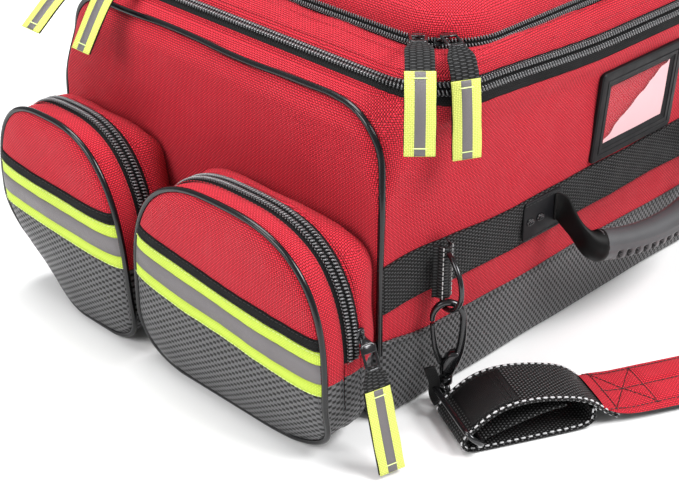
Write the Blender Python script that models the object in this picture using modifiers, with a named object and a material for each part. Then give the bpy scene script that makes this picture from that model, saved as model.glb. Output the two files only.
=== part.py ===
"""Trauma bag: soft emergency bag with a zipped lid, a top pocket, four end pockets,
two side handles and a detachable padded shoulder strap.

Metres, +Z up. Origin: centre of the base, on the floor. X runs along the bag and -Y is
the side with the identity window. The pieces are separate closed solids.
"""
import math

import bmesh
import bpy
from mathutils import Matrix, Vector

# ---- driving dimensions ------------------------------------------------------------
GAP = 0.0004                     # clearance between pieces that touch
BODY_HALF_X = 0.273
BODY_HALF_Y = 0.175              # at the foot of the walls
WALL_FLARE = 0.073               # how fast the long walls lean out with height
FLARE_START_Z = 0.060
WALL = 0.008                     # padded fabric wall
RIM_Z = 0.2405                   # top of the walls, where the lid meets them
BASE_THICK = 0.003
BOOT_TOP = 0.057
BOOT_THICK = 0.002

LID_HALF_X = 0.241
LID_HALF_Y = 0.189
LID_BOTTOM_Z = 0.2440
LID_TOP_Z = 0.2620
LID_CORNER = 0.050
TOP_HALF_X = 0.203
TOP_HALF_Y = 0.172
TOP_BOTTOM_Z = 0.2650
TOP_Z = 0.3110
TOP_CORNER = 0.045
TAPE_THICK = 0.0010
TAPE_WIDTH = 0.0100

END_X = 0.2761                   # where the end pockets stand on the bag's ends
SPLIT_X = 0.3090                 # zip line round the pocket's side
PANEL_X = 0.3305                 # back of the pocket's front panel
FRONT_X = 0.3380                 # seam round the front panel
POCKET_BOTTOM = 0.0040
POCKET_TOP = 0.1660
POCKET_WALL = 0.0030
GUSSET_FOOT = 0.0350             # below this the side belongs to the pocket's back half
PANEL_FOOT = 0.0090              # lower edge of the front panel, its fold line
BAND_LOW = 0.068                 # reflective band on the front panel
BAND_HIGH = 0.118

BAND_Z = 0.110                   # middle of the webbing round the long walls
BAND_WIDTH = 0.038
BAND_INNER_Y = 0.1806
BAND_THICK = 0.0016
DRING_X = 0.220
DRING_Z = 0.1035
DRING_BAR = 0.046
DRING_DEPTH = 0.026
DRING_WIRE = 0.0020
DRING_Y = 0.1858
DRING_YAW = 19.0                 # the left ring is pulled this far towards the bag's end
SLEEVE_RADIUS = 0.0044
SLEEVE_BORE = 0.0026
SLEEVE_HEIGHT = 0.029

ANCHOR_X = 0.103
HANDLE_Y = 0.1870
HANDLE_Z = 0.110
HANDLE_TILT = 45.0               # the handle hangs this far below level
HANDLE_REACH = 0.051
GRIP_END_REACH = 0.037
GRIP_HALF = 0.079
GRIP_RADIUS = 0.0125
HANDLE_WEB = 0.020

STRAP_X = -0.2369                # middle of the strap's ring, on the floor
STRAP_Y = -0.2275
STRAP_YAW = -26.0
WEB_WIDTH = 0.050
WEB_THICK = 0.0018
PAD_WIDTH = 0.056
PAD_THICK = 0.0110
PAD_START = 0.1020
PAD_LENGTH = 0.4005
TAIL_LENGTH = 0.270
TAIL_SLIDE = 0.110               # along the tail, where the slide sits
RING_HALF_WIDTH = 0.036
RING_HALF_DEPTH = 0.008
RING_WIRE = 0.0020

PULL_WIDTH = 0.021
PULL_THICK = 0.0026
PULL_START = 0.57                # width at a pull's pivot, as a share of its full width
PULL_SPLAY = 12.0                # how far the outer pocket pulls turn to the pocket's front
ZIP_OPEN_Y = 0.135               # far end of the main zip
POCKET_PULL_Z = 0.092
NEAR_MIDDLE, NEAR_HALF = -0.0865, 0.0955
FAR_MIDDLE, FAR_HALF = 0.1035, 0.0725
PULL_STAND_OFF = 0.0045          # from the pocket's side to the pull's pivot

RED = (0.62, 0.020, 0.045)
BLACK = (0.012, 0.012, 0.013)
BOOT_GREY = (0.045, 0.046, 0.050)
LIME = (0.52, 0.80, 0.03)
GUNMETAL = (0.03, 0.03, 0.033)
GRIP_GREY = (0.05, 0.05, 0.054)


# ---- scene and materials -----------------------------------------------------------
def clear_scene():
    for thing in list(bpy.data.objects):
        bpy.data.objects.remove(thing, do_unlink=True)


def new_collection(name):
    collection = bpy.data.collections.new(name)
    bpy.context.scene.collection.children.link(collection)
    return collection


def material(name, colour, roughness, metallic=0.0):
    made = bpy.data.materials.new(name)
    made.use_nodes = True
    shader = made.node_tree.nodes["Principled BSDF"]
    shader.inputs["Base Color"].default_value = (*colour, 1.0)
    shader.inputs["Roughness"].default_value = roughness
    shader.inputs["Metallic"].default_value = metallic
    return made


clear_scene()
PARTS = new_collection("trauma_bag")
CUTTERS = new_collection("cutters")
MATERIALS = {
    "red_fabric": material("red_fabric", RED, 0.85),
    "boot": material("boot", BOOT_GREY, 0.55),
    "webbing": material("webbing", BLACK, 0.80),
    "zip": material("zip", BLACK, 0.45),
    "piping": material("piping", BLACK, 0.30),
    "reflective": material("reflective", LIME, 0.55),
    "hardware": material("hardware", GUNMETAL, 0.30, 0.9),
    "grip": material("grip", GRIP_GREY, 0.50),
    "window_frame": material("window_frame", BLACK, 0.45),
    "window_film": material("window_film", (0.8, 0.8, 0.8), 0.10),
    "stiffener": material("stiffener", (0.04, 0.04, 0.04), 0.60),
}


def add_object(name, data, slot=None, collection=None):
    thing = bpy.data.objects.new(name, data)
    (collection or PARTS).objects.link(thing)
    if slot:
        data.materials.append(MATERIALS[slot])
    return thing


def as_cutter(thing):
    """Keep a guide solid out of the model."""
    if thing.name in PARTS.objects:
        PARTS.objects.unlink(thing)
        CUTTERS.objects.link(thing)
    thing.hide_render = True
    thing.display_type = "WIRE"
    return thing


def boolean(target, tool, operation):
    step = target.modifiers.new(operation.lower(), "BOOLEAN")
    step.operation = operation
    step.object = as_cutter(tool)
    return target


def cut(target, tool):
    return boolean(target, tool, "DIFFERENCE")


def join(target, tool):
    return boolean(target, tool, "UNION")


# ---- shape helpers -----------------------------------------------------------------
def rounded_outline(half_u, half_v, corner, steps=4, low_corner=None):
    """Counter-clockwise points of a rectangle with round corners, from the upper right."""
    low = corner if low_corner is None else low_corner
    points = []
    for sign_u, sign_v, radius, start in ((1, 1, corner, 0.0), (-1, 1, corner, 90.0),
                                          (-1, -1, low, 180.0), (1, -1, low, 270.0)):
        centre = Vector((sign_u * (half_u - radius), sign_v * (half_v - radius)))
        for step in range(steps + 1):
            turn = math.radians(start + 90.0 * step / steps)
            points.append(centre + radius * Vector((math.cos(turn), math.sin(turn))))
    return points


def loft(name, rings, slot):
    """Skin a row of outlines, each with the same number of points, and cap both ends."""
    mesh = bpy.data.meshes.new(name)
    bm = bmesh.new()
    rows = [[bm.verts.new(point) for point in ring] for ring in rings]
    for first, second in zip(rows, rows[1:]):
        for index in range(len(first)):
            after = (index + 1) % len(first)
            bm.faces.new((first[index], first[after], second[after], second[index]))
    bm.faces.new(reversed(rows[0]))
    bm.faces.new(rows[-1])
    bmesh.ops.recalc_face_normals(bm, faces=bm.faces[:])
    bm.to_mesh(mesh)
    bm.free()
    return add_object(name, mesh, slot)


def level_ring(half_x, half_y, corner, height):
    return [Vector((p.x, p.y, height)) for p in rounded_outline(half_x, half_y, corner)]


def box(name, low, high, slot=None, bevel=0.0):
    mesh = bpy.data.meshes.new(name)
    bm = bmesh.new()
    size = Vector(high) - Vector(low)
    middle = (Vector(high) + Vector(low)) / 2
    bmesh.ops.create_cube(bm, size=1.0, matrix=Matrix.Diagonal((*size, 1.0)))
    bm.to_mesh(mesh)
    bm.free()
    thing = add_object(name, mesh, slot)
    thing.location = middle
    if bevel:
        edge = thing.modifiers.new("bevel", "BEVEL")
        edge.width = bevel
        edge.segments = 2
    return thing


def cylinder(name, radius, depth, slot=None, segments=20):
    mesh = bpy.data.meshes.new(name)
    bm = bmesh.new()
    bmesh.ops.create_cone(bm, cap_ends=True, segments=segments, radius1=radius,
                          radius2=radius, depth=depth)
    bm.to_mesh(mesh)
    bm.free()
    mesh.shade_smooth()
    mesh.set_sharp_from_angle(angle=math.radians(40))
    return add_object(name, mesh, slot)


def curve_object(name, points, slot, dimensions="3D", cyclic=False):
    data = bpy.data.curves.new(name, "CURVE")
    data.dimensions = dimensions
    spline = data.splines.new("POLY")
    spline.points.add(len(points) - 1)
    for place, point in zip(spline.points, points):
        place.co = (*point, 1.0) if len(point) == 3 else (*point, 0.0, 1.0)
    spline.use_cyclic_u = cyclic
    return add_object(name, data, slot)


def tube(name, points, radius, slot, cyclic=False, sides=2):
    """A round wire; sides 2 gives eight faces round it."""
    thing = curve_object(name, points, slot, cyclic=cyclic)
    thing.data.bevel_depth = radius
    thing.data.bevel_resolution = sides
    thing.data.use_fill_caps = not cyclic
    return thing


def plate(name, points, thickness, slot):
    """A flat outline in its own XY plane, with the thickness along its own Z."""
    thing = curve_object(name, points, slot, "2D", cyclic=True)
    thing.data.fill_mode = "BOTH"
    thing.data.extrude = thickness / 2
    return thing


def ribbon(name, points, width, thickness, slot):
    """A flat band that follows a path in its own XY plane, with its width along its own Z."""
    thing = curve_object(name, points, slot)
    thing.data.extrude = width / 2
    shell = thing.modifiers.new("thickness", "SOLIDIFY")
    shell.thickness = thickness
    shell.offset = 0.0
    shell.use_even_offset = True
    return thing


def to_mesh(thing):
    """Replace a curve by a welded mesh in the same place."""
    bpy.context.view_layer.update()
    seen = thing.evaluated_get(bpy.context.evaluated_depsgraph_get())
    mesh = bpy.data.meshes.new_from_object(seen)
    bm = bmesh.new()
    bm.from_mesh(mesh)
    bmesh.ops.remove_doubles(bm, verts=bm.verts, dist=0.00001)
    bmesh.ops.recalc_face_normals(bm, faces=bm.faces[:])
    bm.to_mesh(mesh)
    bm.free()
    name = thing.name
    place = thing.matrix_world.copy()
    bpy.data.objects.remove(thing, do_unlink=True)
    made = add_object(name, mesh)
    made.name = name
    made.matrix_world = place
    return made


def empty(name, location, rotation=(0.0, 0.0, 0.0), parent=None):
    thing = bpy.data.objects.new(name, None)
    PARTS.objects.link(thing)
    thing.location = location
    thing.rotation_euler = rotation
    thing.parent = parent
    return thing


def arc(centre, radius, start, end, steps):
    """Points round a centre, in a plane, from one angle in degrees to another."""
    turns = [math.radians(start + (end - start) * step / steps) for step in range(steps + 1)]
    return [Vector((centre[0] + radius * math.cos(t), centre[1] + radius * math.sin(t)))
            for t in turns]


# ---- main compartment --------------------------------------------------------------
def wall_y(height):
    """Half width of the bag at a height: the long walls lean out above the boot."""
    return BODY_HALF_Y + WALL_FLARE * max(0.0, height - FLARE_START_Z)


def body_shell():
    """Open-topped padded box whose ends turn in to a flange under the lid's zip."""
    levels = ((BASE_THICK + GAP, 0.004, 0.020), (0.020, 0.0, 0.020), (0.060, 0.0, 0.020),
              (0.190, 0.0, 0.020), (0.210, 0.0, 0.026), (0.226, 0.0005, 0.040),
              (0.2345, 0.002, 0.060), (0.2385, 0.006, 0.076), (RIM_Z, 0.012, 0.080))
    outer = [level_ring(BODY_HALF_X - inset, wall_y(z) - inset / 4, corner, z)
             for z, inset, corner in levels]
    mouth = level_ring(LID_HALF_X - WALL, LID_HALF_Y - 0.012, 0.045, RIM_Z)
    under_flange = level_ring(BODY_HALF_X - 0.014, wall_y(0.228) - WALL, 0.030, 0.2285)
    inner_foot = level_ring(BODY_HALF_X - WALL, BODY_HALF_Y - WALL, 0.014, 0.0120)
    inner_mid = level_ring(BODY_HALF_X - WALL, BODY_HALF_Y - WALL, 0.014, FLARE_START_Z)
    flange_edge = level_ring(LID_HALF_X - WALL, LID_HALF_Y - 0.012, 0.045, RIM_Z - 0.004)
    return loft("body_shell", outer + [mouth, flange_edge, under_flange, inner_mid,
                                       inner_foot], "red_fabric")


def base_pieces():
    floor_ring = rounded_outline(BODY_HALF_X - 0.002, BODY_HALF_Y - 0.002, 0.020)
    panel = plate("base_panel", floor_ring, BASE_THICK, "boot")
    panel.location.z = BASE_THICK / 2
    board = box("base_board", (-0.259, -0.161, 0.0124), (0.259, 0.161, 0.0154), "stiffener")
    return panel, board


def base_boot():
    """Belt of embossed material round the foot of the walls."""
    inner = (BODY_HALF_X + GAP, BODY_HALF_Y + GAP, 0.0204)
    outer = tuple(size + BOOT_THICK for size in inner)
    low, high = 0.0006, BOOT_TOP
    mesh = bpy.data.meshes.new("base_boot")
    bm = bmesh.new()
    rows = [[bm.verts.new(p) for p in level_ring(*size, height)]
            for size, height in ((outer, low), (outer, high), (inner, high), (inner, low))]
    for first, second in zip(rows, rows[1:] + rows[:1]):
        for index in range(len(first)):
            after = (index + 1) % len(first)
            bm.faces.new((first[index], first[after], second[after], second[index]))
    bm.to_mesh(mesh)
    bm.free()
    return add_object("base_boot", mesh, "boot")


def divider():
    """Padded partition that stands across the main compartment."""
    return box("divider", (0.060, -0.164, 0.0160), (0.068, 0.164, 0.2000), "red_fabric",
               bevel=0.002)


def end_piping(name, side):
    """Piping up one corner, across under the lid and down the other corner."""
    low, straight, reach, corner = 0.0605, 0.170, BODY_HALF_Y, 0.070
    path = [Vector((-reach, low)), Vector((-reach, 0.115))]
    path += arc((-reach + corner, straight), corner, 180.0, 90.0, 7)
    path += arc((reach - corner, straight), corner, 90.0, 0.0, 7)
    path += [Vector((reach, 0.115)), Vector((reach, low))]
    x = side * (BODY_HALF_X + 0.0032)
    return tube(name, [(x, p.x, p.y) for p in path], 0.0026, "piping")


def zip_tape(name, half_x, half_y, corner, bottom, open_y):
    """Flat tape round three sides of a lid; the far long side has none."""
    outer = rounded_outline(half_x, half_y, corner)
    inner = rounded_outline(half_x - TAPE_WIDTH, half_y - TAPE_WIDTH, corner - TAPE_WIDTH)
    near_outer = [p for p in outer if p.y < 0.0]
    near_inner = [p for p in inner if p.y < 0.0]
    path = [Vector((-half_x, open_y))] + near_outer + [Vector((half_x, open_y))]
    path += [Vector((half_x - TAPE_WIDTH, open_y))] + near_inner[::-1]
    path += [Vector((-half_x + TAPE_WIDTH, open_y))]
    tape = plate(name, path, TAPE_THICK, "zip")
    tape.location.z = bottom + TAPE_THICK / 2
    return tape


# ---- lid and top pocket --------------------------------------------------------------
def lid():
    rings = [level_ring(LID_HALF_X, LID_HALF_Y, LID_CORNER, LID_BOTTOM_Z),
             level_ring(LID_HALF_X - 0.004, LID_HALF_Y - 0.002, LID_CORNER, 0.2500),
             level_ring(TOP_HALF_X + 0.008, TOP_HALF_Y + 0.006, TOP_CORNER + 0.004, LID_TOP_Z - 0.001),
             level_ring(TOP_HALF_X + 0.002, TOP_HALF_Y + 0.002, TOP_CORNER, LID_TOP_Z)]
    return loft("lid_panel", rings, "red_fabric")


def top_pocket_cover():
    """Domed cover, hollow underneath."""
    levels = ((TOP_BOTTOM_Z, 0.0, 0.0), (0.282, 0.003, 0.003), (0.297, 0.020, 0.018),
              (0.3065, 0.052, 0.046), (TOP_Z, 0.110, 0.095))
    outer = [level_ring(TOP_HALF_X - dx, TOP_HALF_Y - dy, TOP_CORNER, z) for z, dx, dy in levels]
    hollow = ((0.3035, 0.112, 0.097), (0.298, 0.060, 0.055), (0.288, 0.030, 0.027),
              (TOP_BOTTOM_Z, 0.007, 0.007))
    inner = [level_ring(TOP_HALF_X - dx, TOP_HALF_Y - dy, TOP_CORNER - 0.006, z)
             for z, dx, dy in hollow]
    return loft("top_pocket_cover", inner + outer, "red_fabric")


def pull_tab(name, path, location, yaw):
    """Webbing zip pull, narrow at its pivot, on a path in an upright plane at the yaw."""
    curve = ribbon(name, path, PULL_WIDTH, PULL_THICK, "reflective")
    curve.rotation_euler = (math.radians(90), 0.0, math.radians(yaw))
    curve.location = location
    tab = to_mesh(curve)
    widens_until = path[1][0]
    for vertex in tab.data.vertices:
        share = min(1.0, max(0.0, vertex.co.x / widens_until))
        vertex.co.z *= PULL_START + (1.0 - PULL_START) * share
    return tab


def top_pulls():
    """Two pulls that meet at the near left corner and hang over the main zip."""
    over_corner = [(0.000, 0.004), (0.018, 0.008), (0.040, 0.006), (0.056, -0.006),
                   (0.0655, -0.026), (0.0700, -0.053)]
    over_side = [(0.000, 0.004), (0.010, 0.007), (0.020, 0.006), (0.032, 0.001),
                 (0.0400, -0.011), (0.0445, -0.036), (0.0472, -0.067)]
    pull_tab("top_pull_a", over_corner, (-0.2076, -0.1439, 0.2680), 225.0)
    pull_tab("top_pull_b", over_side, (-0.1959, -0.1571, 0.2680), 244.0)


def main_pulls():
    """Two pulls of the main zip, near the far end of its left run; one stands out more."""
    lifted = [(0.000, 0.002), (0.016, 0.007), (0.034, 0.004), (0.052, -0.006), (0.078, -0.027)]
    hanging = [(0.000, 0.002), (0.014, 0.006), (0.030, 0.000), (0.040, -0.012), (0.058, -0.040)]
    pull_tab("main_pull_a", lifted, (-0.247, 0.141, 0.2535), 180.0)
    pull_tab("main_pull_b", hanging, (-0.247, 0.107, 0.2535), 180.0)


# ---- end pockets -----------------------------------------------------------------------
def pocket_ring(middle, half_width, inset, x, corner=0.046, foot=0.026):
    """Outline of a pocket in the upright plane at x, drawn in by inset."""
    half_height = (POCKET_TOP - POCKET_BOTTOM) / 2 - inset
    centre = (POCKET_TOP + POCKET_BOTTOM) / 2
    outline = rounded_outline(half_width - inset, half_height, max(corner - inset, 0.004),
                              low_corner=max(foot - inset, 0.004))
    return [Vector((x, middle + p.x, centre + p.y)) for p in outline]


def slab_beyond(name, side, x_low, x_high, z_low, z_high, middle):
    """Cutter across a whole pocket, between two distances from the bag's middle."""
    near, far = sorted((side * x_low, side * x_high))
    return box(name, (near, middle - 0.12, z_low), (far, middle + 0.12, z_high))


def pocket_back(tag, side, middle, half):
    """Tray on the bag's end; its foot reaches the front panel, the rest stops at the zip."""
    rim = half - 0.001
    rings = [pocket_ring(middle, half - 0.018, 0.0, side * END_X),
             pocket_ring(middle, half - 0.003, 0.0, side * (SPLIT_X - 0.008)),
             pocket_ring(middle, rim, 0.0, side * (PANEL_X - GAP)),
             pocket_ring(middle, rim, POCKET_WALL, side * (PANEL_X - GAP)),
             pocket_ring(middle, half - 0.018, POCKET_WALL, side * (END_X + 0.0025))]
    back = loft("pocket_back_" + tag, rings, "red_fabric")
    return cut(back, slab_beyond("above_zip_end_" + tag, side, SPLIT_X, PANEL_X + 0.01,
                                 GUSSET_FOOT, 0.2, middle))


def pocket_front(tag, side, middle, half):
    """Padded front panel with its own side and top strip; it folds down at its foot."""
    rim = half - 0.001
    rings = [pocket_ring(middle, rim, POCKET_WALL, side * PANEL_X),
             pocket_ring(middle, rim, POCKET_WALL, side * (SPLIT_X + GAP)),
             pocket_ring(middle, rim, 0.0, side * (SPLIT_X + GAP)),
             pocket_ring(middle, half, 0.0, side * FRONT_X),
             pocket_ring(middle, half, 0.005, side * (FRONT_X + 0.0030)),
             pocket_ring(middle, half, 0.016, side * (FRONT_X + 0.0050))]
    front = loft("pocket_front_" + tag, rings, "red_fabric")
    cut(front, slab_beyond("strip_foot_" + tag, side, SPLIT_X - 0.001, PANEL_X,
                           -0.01, GUSSET_FOOT + GAP, middle))
    return cut(front, slab_beyond("panel_foot_" + tag, side, PANEL_X - 0.002,
                                  FRONT_X + 0.02, -0.01, PANEL_FOOT, middle))


def pocket_trim(tag, side, middle, half):
    """Reflective band, zip tape and pull of one pocket."""
    x_low, x_high = sorted((side * (FRONT_X + 0.0053), side * (FRONT_X + 0.0067)))
    box("pocket_band_" + tag, (x_low, middle - half + 0.018, BAND_LOW),
        (x_high, middle + half - 0.018, BAND_HIGH), "reflective")
    zip_half = half + 0.0012
    top = POCKET_TOP + 0.0012
    corner = 0.048
    path = [Vector((middle - zip_half, 0.045))]
    path += arc((middle - zip_half + corner, top - corner), corner, 180.0, 90.0, 6)
    path += arc((middle + zip_half - corner, top - corner), corner, 90.0, 0.0, 6)
    path += [Vector((middle + zip_half, 0.045))]
    tape = ribbon("pocket_zip_" + tag, [(p.x, p.y) for p in path], 0.012, 0.0012, "zip")
    tape.rotation_euler = (math.radians(90), 0.0, math.radians(90))
    tape.location.x = side * (SPLIT_X - 0.0065)


def pocket_piping(tag, side, middle, half):
    """Piping round the seam of the front panel; it stops above the panel's folded foot."""
    reach, top, corner, low = half + 0.0028, POCKET_TOP + 0.0028, 0.048, 0.016
    path = [Vector((middle - reach, low)), Vector((middle - reach, 0.065))]
    path += arc((middle - reach + corner, top - corner), corner, 180.0, 90.0, 6)
    path += arc((middle + reach - corner, top - corner), corner, 90.0, 0.0, 6)
    path += [Vector((middle + reach, 0.065)), Vector((middle + reach, low))]
    tube("pocket_piping_" + tag, [(side * FRONT_X, p.x, p.y) for p in path], 0.0023, "piping")


def pocket_pull(tag, side, middle, half):
    """Pull parked at the foot of the pocket's zip, outside its near side. The near pocket's
    pull leans out to the floor; the far one hangs straight in the gap between pockets."""
    y = middle - half - PULL_STAND_OFF
    if tag.startswith("near"):
        path = [(0.000, 0.0), (0.008, -0.004), (0.016, -0.022), (0.028, -0.058),
                (0.039, -0.088)]
        yaw = -90.0 + PULL_SPLAY * side
    else:
        path = [(0.000, 0.0), (0.0025, -0.004), (0.0035, -0.014), (0.0040, -0.086)]
        yaw = -90.0
    pull_tab("pocket_pull_" + tag, path, (side * 0.3030, y, POCKET_PULL_Z), yaw)


# ---- webbing, rings, window, handles -----------------------------------------------------
def webbing_band(name, side):
    """Webbing along a long wall with handle patches; the near one carries ring sleeves."""
    y_low, y_high = sorted((side * BAND_INNER_Y, side * (BAND_INNER_Y + BAND_THICK)))
    band = box(name, (-BODY_HALF_X + 0.0005, y_low, BAND_Z - BAND_WIDTH / 2),
               (BODY_HALF_X - 0.0005, y_high, BAND_Z + BAND_WIDTH / 2), "webbing")
    for x in (-ANCHOR_X, ANCHOR_X):
        low, high = sorted((side * (BAND_INNER_Y + 0.001), side * (BAND_INNER_Y + 0.0038)))
        join(band, box("patch", (x - 0.022, low, BAND_Z - 0.017),
                       (x + 0.022, high, BAND_Z + 0.017)))
    if side < 0:
        for x in (-DRING_X, DRING_X):
            sleeve = cylinder("sleeve", SLEEVE_RADIUS, SLEEVE_HEIGHT)
            sleeve.location = (x, -DRING_Y, DRING_Z + 0.0045)
            join(band, sleeve)
        for x in (-DRING_X, DRING_X):
            bore = cylinder("bore", SLEEVE_BORE, 0.05)
            bore.location = (x, -DRING_Y, DRING_Z)
            cut(band, bore)
    return band


def d_ring(name, x, yaw):
    """Wire ring: upright bar in the webbing sleeve, bow pointing away from the bag."""
    half = DRING_BAR / 2
    bow = [Vector((DRING_DEPTH * math.sin(t), half * math.cos(t)))
           for t in (math.pi * step / 10 for step in range(11))]
    path = [(p.x, 0.0, p.y) for p in bow]
    path += [(0.0, 0.0, -half * 0.5), (0.0, 0.0, half * 0.5)]
    ring = tube(name, path, DRING_WIRE, "hardware", cyclic=True)
    ring.location = (x, -DRING_Y, DRING_Z)
    ring.rotation_euler.z = math.radians(yaw)
    return ring


def identity_window():
    tilt = math.atan(WALL_FLARE)
    middle = Vector((0.0, -0.1851, 0.169))
    frame = box("id_frame", (-0.0515, -0.0014, -0.038), (0.0515, 0.0014, 0.038), "window_frame",
                bevel=0.0008)
    film = box("id_film", (-0.0372, -0.0003, -0.0242), (0.0372, 0.0003, 0.0242), "window_film")
    window = box("window_hole", (-0.0376, -0.01, -0.0246), (0.0376, 0.01, 0.0246))
    holder = empty("id_window", middle, (tilt, 0.0, 0.0))
    for piece in (frame, film, window):
        piece.parent = holder
        piece.location = (0.0, 0.0, 0.0)
    cut(frame, window)


def handle_path():
    """Half of the handle's line in its own plane: x along the bag, y away from the wall."""
    points = [Vector((-ANCHOR_X, 0.0125)), Vector((-ANCHOR_X + 0.0075, 0.0210))]
    sag = HANDLE_REACH - GRIP_END_REACH
    for step in range(0, 7):
        x = -GRIP_HALF - 0.004 + (GRIP_HALF + 0.004) * step / 6
        points.append(Vector((x, HANDLE_REACH - sag * (x / GRIP_HALF) ** 2)))
    return points + [Vector((-p.x, p.y)) for p in points[-2::-1]]


def handle(tag, side):
    """Moulded grip on a webbing strap; both turn about the line of the wall patches."""
    holder = empty("handle_" + tag, (0.0, side * HANDLE_Y, HANDLE_Z),
                   (math.radians(-HANDLE_TILT), 0.0, 0.0 if side > 0 else math.pi))
    line = handle_path()
    strap = ribbon("handle_strap_" + tag, line, HANDLE_WEB, 0.0020, "webbing")
    slot = ribbon("slot_" + tag, line, HANDLE_WEB + 0.0012, 0.0032, "webbing")
    core = [p for p in line if abs(p.x) <= GRIP_HALF]
    grip = tube("handle_grip_" + tag, [(p.x, p.y, 0.0) for p in core], GRIP_RADIUS, "grip",
                sides=3)
    grip = to_mesh(grip)
    slot = to_mesh(slot)
    for piece in (strap, slot, grip):
        piece.parent = holder
    cut(grip, slot)
    return holder


# ---- shoulder strap ------------------------------------------------------------------------
def hook(tag, holder):
    """Snap hook in its holder's XZ plane: stem at the foot, mouth on the -X side."""
    path = [Vector((0.004, -0.004)), Vector((0.0095, 0.006)), Vector((0.0130, 0.020))]
    path += arc((0.0, 0.0385), 0.0135, 0.0, 180.0, 10)
    body = tube("hook_" + tag, [(p.x, 0.0, p.y) for p in path], 0.0030, "hardware")
    body = to_mesh(body)
    block = box("block", (-0.0105, -0.0040, -0.0085), (0.0095, 0.0040, 0.0035), bevel=0.0015)
    barrel = cylinder("barrel", 0.0050, 0.010, segments=16)
    barrel.location = (0.0, 0.0, -0.0115)
    gate_line = [(-0.0082, 0.0, 0.0068), (-0.0112, 0.0, 0.0180), (-0.0134, 0.0, 0.0345)]
    gate = tube("hook_gate_" + tag, gate_line, 0.0022, "hardware")
    for piece in (body, block, barrel, gate):
        piece.parent = holder
    join(body, block)
    join(body, barrel)
    return body


def eye(tag, holder, turn):
    """Swivel loop below the hook's stem."""
    path = arc((0.0, -0.0259), 0.0070, 0.0, 330.0, 11)
    loop = tube("hook_eye_" + tag, [(p.x, 0.0, p.y) for p in path], 0.0020, "hardware",
                cyclic=True)
    loop.parent = holder
    loop.rotation_euler.z = math.radians(turn)


def strap_ring(tag, holder):
    """Rectangular wire ring lying in its holder's XY plane, long bars along Y."""
    outline = rounded_outline(RING_HALF_DEPTH, RING_HALF_WIDTH, 0.006, steps=3)
    ring = tube("strap_ring_" + tag, [(p.x, p.y, 0.0) for p in outline], RING_WIRE, "hardware",
                cyclic=True)
    ring.parent = holder
    return ring


def strap_piece(name, path, width, thickness, slot, holder):
    """Band whose side view is given along the strap and up."""
    band = ribbon(name, path, width, thickness, slot)
    band.rotation_euler.x = math.radians(90)
    band.parent = holder
    return band


def loop_path():
    """Webbing end: down from the pad, round the ring's bar, and back along the floor."""
    top = [(0.1006, 0.0085), (0.0945, 0.0140), (0.0860, 0.0215), (0.0750, 0.0265),
           (0.0520, 0.0318), (0.0330, 0.0335), (0.0170, 0.0310), (0.0040, 0.0245),
           (-0.0040, 0.0155)]
    wrap = [tuple(p) for p in arc((-0.0100, 0.0070), 0.0043, 60.0, 285.0, 7)]
    bottom = [(0.0100, 0.0012), (0.0500, 0.0012), (0.0780, 0.0014), (0.0865, 0.0040),
              (0.0893, 0.0095)]
    return top + wrap + bottom


def shoulder_strap():
    yaw = math.radians(STRAP_YAW)
    holder = empty("strap", (STRAP_X, STRAP_Y, 0.0), (0.0, 0.0, yaw))
    strap_piece("strap_web_left", loop_path(), WEB_WIDTH, WEB_THICK, "webbing", holder)
    pad_end = PAD_START + PAD_LENGTH
    floor = PAD_THICK / 2 + 0.0006
    pad_path = [(PAD_START, floor), (pad_end - 0.12, floor), (pad_end, floor)]
    strap_piece("strap_pad", pad_path, PAD_WIDTH, PAD_THICK, "red_fabric", holder)
    tail_start = pad_end + 0.0004
    tail_end = tail_start + TAIL_LENGTH
    slide_at = tail_start + TAIL_SLIDE
    tail = [(tail_start, 0.0060), (tail_start + 0.03, 0.0014), (slide_at - 0.02, 0.0014),
            (slide_at + 0.02, 0.0014), (tail_end - 0.03, 0.0014), (tail_end - 0.008, 0.0016)]
    tail += [tuple(p) for p in arc((tail_end, 0.0070), 0.0043, 270.0, 440.0, 6)]
    tail += [(tail_end - 0.02, 0.0080), (tail_end - 0.06, 0.0050), (tail_end - 0.10, 0.0046)]
    strap_piece("strap_web_right", tail, WEB_WIDTH, WEB_THICK, "webbing", holder)
    slide = box("strap_slide", (slide_at - 0.013, -0.031, 0.0034),
                (slide_at + 0.013, 0.031, 0.0064), "hardware", bevel=0.001)
    slide.parent = holder
    left_ring = empty("ring_left_seat", (-0.0020, 0.0, 0.0079), parent=holder)
    strap_ring("left", left_ring)
    right_ring = empty("ring_right_seat", (tail_end + 0.0080, 0.0, 0.0075), parent=holder)
    strap_ring("right", right_ring)
    return holder, tail_end


def hooks(holder, tail_end):
    left = empty("hook_left_seat", (-0.2229, -0.1942, 0.0360), (0.0, 0.0, math.radians(-45)))
    hook("left", left)
    eye("left", left, STRAP_YAW - 45.0)
    right = empty("hook_right_seat", (tail_end + 0.0442, 0.0, 0.0091),
                  (math.radians(90), 0.0, math.radians(90)), parent=holder)
    hook("right", right)
    eye("right", right, 90.0)


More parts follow.
